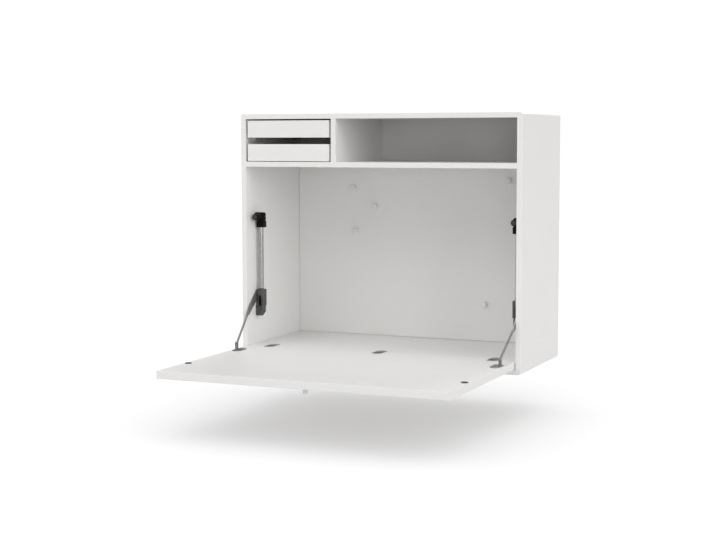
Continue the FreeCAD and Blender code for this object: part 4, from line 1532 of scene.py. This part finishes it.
@dataclass
class Tray(SubAssembly):
    """A pull-out tray: a plain lacquered front on a folded sheet body."""

    body: Body = Body.UPPER_TRAY
    rim: float = 0.9 * MM
    sheet: float = 1.5 * MM
    bend: float = 2.2 * MM

    def build(self) -> None:
        """Builds front and body, and dresses the screws."""
        word = self.body.value
        low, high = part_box(f"{word}_front")
        front = Bench.block(f"{word}_front_lacquered", low, high)
        Bench.round_edges(front, self.rim, 4, in_plane("y", low.y))
        Bench.smooth(front)
        self.place(front, "white_lacquer", self.body, f"{word}_front")
        self._folded_body(word)
        self.dress("zinc_screw", f"{word}_screws")

    def _folded_body(self, word: str) -> None:
        """The body: a folded sheet, open at the top.

        Args:
            word: The tray's name.
        """
        low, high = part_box(f"{word}_body")
        body = Bench.block(f"{word}_body_folded", low, high)
        at_rim = in_plane("z", high.z)
        Bench.round_edges(body, self.bend, 5, lambda a, b: not at_rim(a, b))
        Bench.activate(body)
        bpy.ops.object.mode_set(mode="EDIT")
        Bench.choose_faces(body, lambda middle, normal: near(middle.z, high.z))
        bpy.ops.mesh.inset(thickness=self.sheet)
        bpy.ops.mesh.extrude_region_move(
            TRANSFORM_OT_translate={"value": (0, 0, -(high.z - low.z - self.sheet))}
        )
        bpy.ops.object.mode_set(mode="OBJECT")
        Bench.round_edges(body, self.bend - self.sheet, 4, in_plane("z", low.z + self.sheet))
        Bench.smooth(body)
        self.place(body, "tray_enamel", self.body, f"{word}_body")


@dataclass
class TrayBay(SubAssembly):
    """The runners in the tray bay, and the glides under the lower tray."""

    def build(self) -> None:
        """Dresses runners, glides and screws."""
        self.dress("pale_plastic", "tray_runners", "lower_tray_glides")
        self.dress("zinc_screw", "tray_runner_screws")


@dataclass
class Rails(SubAssembly):
    """The hooked rails behind the cabinet, the screws of rails and stays, and the catch magnets."""

    def build(self) -> None:
        """Dresses rails, screws and magnets."""
        self.dress("rail_aluminium", "wall_rail", "cabinet_rail")
        self.dress("zinc_screw", "cabinet_rail_screws", "stay_screws")
        self.dress("magnet_ferrite", "catch_magnets")


@dataclass(frozen=True)
class SoftLight:
    """A broad, distant softbox, placed in degrees as seen from the desk.

    Azimuth 0 is straight in front and 90 is to the right. The spread is the angle that it fills.
    """

    name: str
    azimuth: float
    elevation: float
    spread: float
    strength: float
    for_floor: bool = False


@dataclass
class Studio:
    """A pale floor, soft light and the camera."""

    drop: float = 0.112
    floor_size: float = 30.0
    floor_tone: float = 0.92
    floor_roughness: float = 0.9
    fibre_scale: float = 3.0
    fibre_depth: float = 0.005
    floor_lift: float = 0.05
    floor_bounce: float = 0.66
    fill: float = 0.27
    surround: float = 1.04
    focal_pixels: float = 1455.1
    image_width: float = 716.0
    sensor: float = 36.0
    sight: float = 100.0
    camera_place: tuple[float, float, float] = (1.3048, -3.3674, 0.0233)
    yaw: float = 23.753
    pitch: float = 5.237
    roll: float = -0.108
    lights: tuple[SoftLight, ...] = (
        SoftLight("right_softbox", 70, 15, 60, 2.10),
        SoftLight("front_softbox", -20, 45, 40, 0.82),
        SoftLight("left_softbox", -50, 15, 40, 0.50),
        SoftLight("overhead_softbox", -80, 75, 40, 0.90),
        SoftLight("level_softbox", 25, 1.5, 12, 0.17),
        SoftLight("rear_softbox", 180, 30, 40, 1.2),
        SoftLight("floor_dome", 0, 90, 165, 2.70, for_floor=True),
    )

    def build(self) -> None:
        """Sets floor, world, lights and camera."""
        floor = self._floor()
        self._world()
        for light in self.lights:
            self._softbox(light, floor)
        self._camera()
        bpy.context.scene.view_settings.view_transform = "Standard"
        log.info("studio: floor, world, %d softboxes and camera", len(self.lights))

    def _floor(self) -> bpy.types.Object:
        """A wide pale floor below the cabinet.

        Returns:
            The floor.
        """
        level = cad_box[0][2] - self.drop
        bpy.ops.object.select_all(action="DESELECT")
        bpy.ops.mesh.primitive_plane_add(size=self.floor_size, location=(0, 0, level))
        floor = Bench.settle(bpy.context.object, "studio_floor")
        material = bpy.data.materials.new("studio_paper")
        material.use_nodes = True
        nodes, links = material.node_tree.nodes, material.node_tree.links
        shader = nodes["Principled BSDF"]
        shader.inputs["Roughness"].default_value = self.floor_roughness
        shader.inputs["Specular IOR Level"].default_value = 0.0
        shader.inputs["Emission Color"].default_value = (1, 1, 1, 1)
        shader.inputs["Emission Strength"].default_value = self.floor_lift
        place = nodes.new("ShaderNodeTexCoord")
        fibres = nodes.new("ShaderNodeTexNoise")
        fibres.inputs["Scale"].default_value = self.fibre_scale
        shade = nodes.new("ShaderNodeValToRGB")
        shade.color_ramp.elements[0].color = toned(self.floor_tone * (1 - self.fibre_depth))
        shade.color_ramp.elements[1].color = toned(self.floor_tone)
        links.new(place.outputs["Object"], fibres.inputs["Vector"])
        links.new(fibres.outputs["Fac"], shade.inputs["Fac"])
        links.new(shade.outputs["Color"], shader.inputs["Base Color"])
        bounce = nodes.new("ShaderNodeEmission")
        bounce.inputs["Strength"].default_value = self.floor_bounce
        path = nodes.new("ShaderNodeLightPath")
        mix = nodes.new("ShaderNodeMixShader")
        links.new(path.outputs["Is Camera Ray"], mix.inputs["Fac"])
        links.new(bounce.outputs["Emission"], mix.inputs[1])
        links.new(shader.outputs["BSDF"], mix.inputs[2])
        links.new(mix.outputs["Shader"], nodes["Material Output"].inputs["Surface"])
        floor.data.materials.append(material)
        return floor

    def _world(self) -> None:
        """A white surround behind the desk that adds only a little even light to it."""
        world = bpy.data.worlds.new("white_surround")
        world.use_nodes = True
        nodes, links = world.node_tree.nodes, world.node_tree.links
        even = nodes["Background"]
        even.inputs["Color"].default_value = (1, 1, 1, 1)
        even.inputs["Strength"].default_value = self.fill
        seen = nodes.new("ShaderNodeBackground")
        seen.inputs["Strength"].default_value = self.surround
        seen.inputs["Color"].default_value = (1, 1, 1, 1)
        path = nodes.new("ShaderNodeLightPath")
        mix = nodes.new("ShaderNodeMixShader")
        links.new(path.outputs["Is Camera Ray"], mix.inputs["Fac"])
        links.new(even.outputs["Background"], mix.inputs[1])
        links.new(seen.outputs["Background"], mix.inputs[2])
        links.new(mix.outputs["Shader"], nodes["World Output"].inputs["Surface"])
        bpy.context.scene.world = world

    def _softbox(self, light: SoftLight, floor: bpy.types.Object) -> None:
        """Hangs one softbox and links it either to the floor or to everything else.

        Args:
            light: The softbox.
            floor: The studio floor.
        """
        data = bpy.data.lights.new(light.name, "SUN")
        data.angle = math.radians(light.spread)
        data.energy = light.strength
        lamp = bpy.data.objects.new(light.name, data)
        turn, rise = math.radians(light.azimuth), math.radians(light.elevation)
        towards = Vector((math.sin(turn) * math.cos(rise), -math.cos(turn) * math.cos(rise), math.sin(rise)))
        lamp.location = towards * self.floor_size / 4
        lamp.rotation_euler = towards.to_track_quat("Z", "Y").to_euler()
        bpy.context.scene.collection.objects.link(lamp)
        lit = bpy.data.collections.new(f"{light.name}_lights")
        lit.objects.link(floor)
        lit.collection_objects[0].light_linking.link_state = "INCLUDE" if light.for_floor else "EXCLUDE"
        lamp.light_linking.receiver_collection = lit

    def _camera(self) -> None:
        """The camera, to the right of the desk and a little above its flap."""
        camera_data = bpy.data.cameras.new("camera")
        camera_data.sensor_width = self.sensor
        camera_data.lens = self.focal_pixels * self.sensor / self.image_width
        camera_data.clip_end = self.sight
        camera = bpy.data.objects.new("camera", camera_data)
        bpy.context.scene.collection.objects.link(camera)
        level = Euler((math.radians(90 - self.pitch), 0, math.radians(self.yaw)), "XYZ").to_matrix()
        camera.matrix_world = Matrix.Translation(self.camera_place) @ (
            level @ Matrix.Rotation(math.radians(self.roll), 3, "Z")
        ).to_4x4()
        bpy.context.scene.camera = camera


def main() -> None:
    """Builds every sub-assembly in order, then the studio."""
    logging.basicConfig(level=logging.INFO, format="%(message)s")
    shop = PaintShop()
    Carcass(shop).build()
    MagneticBoard(shop).build()
    Hinges(shop).build()
    Flap(shop).build()
    for side in Side:
        Stay(shop, side).build()
    for body in (Body.UPPER_TRAY, Body.LOWER_TRAY):
        Tray(shop, body).build()
    TrayBay(shop).build()
    Rails(shop).build()
    Studio().build()


if __name__ == "__main__":
    main()
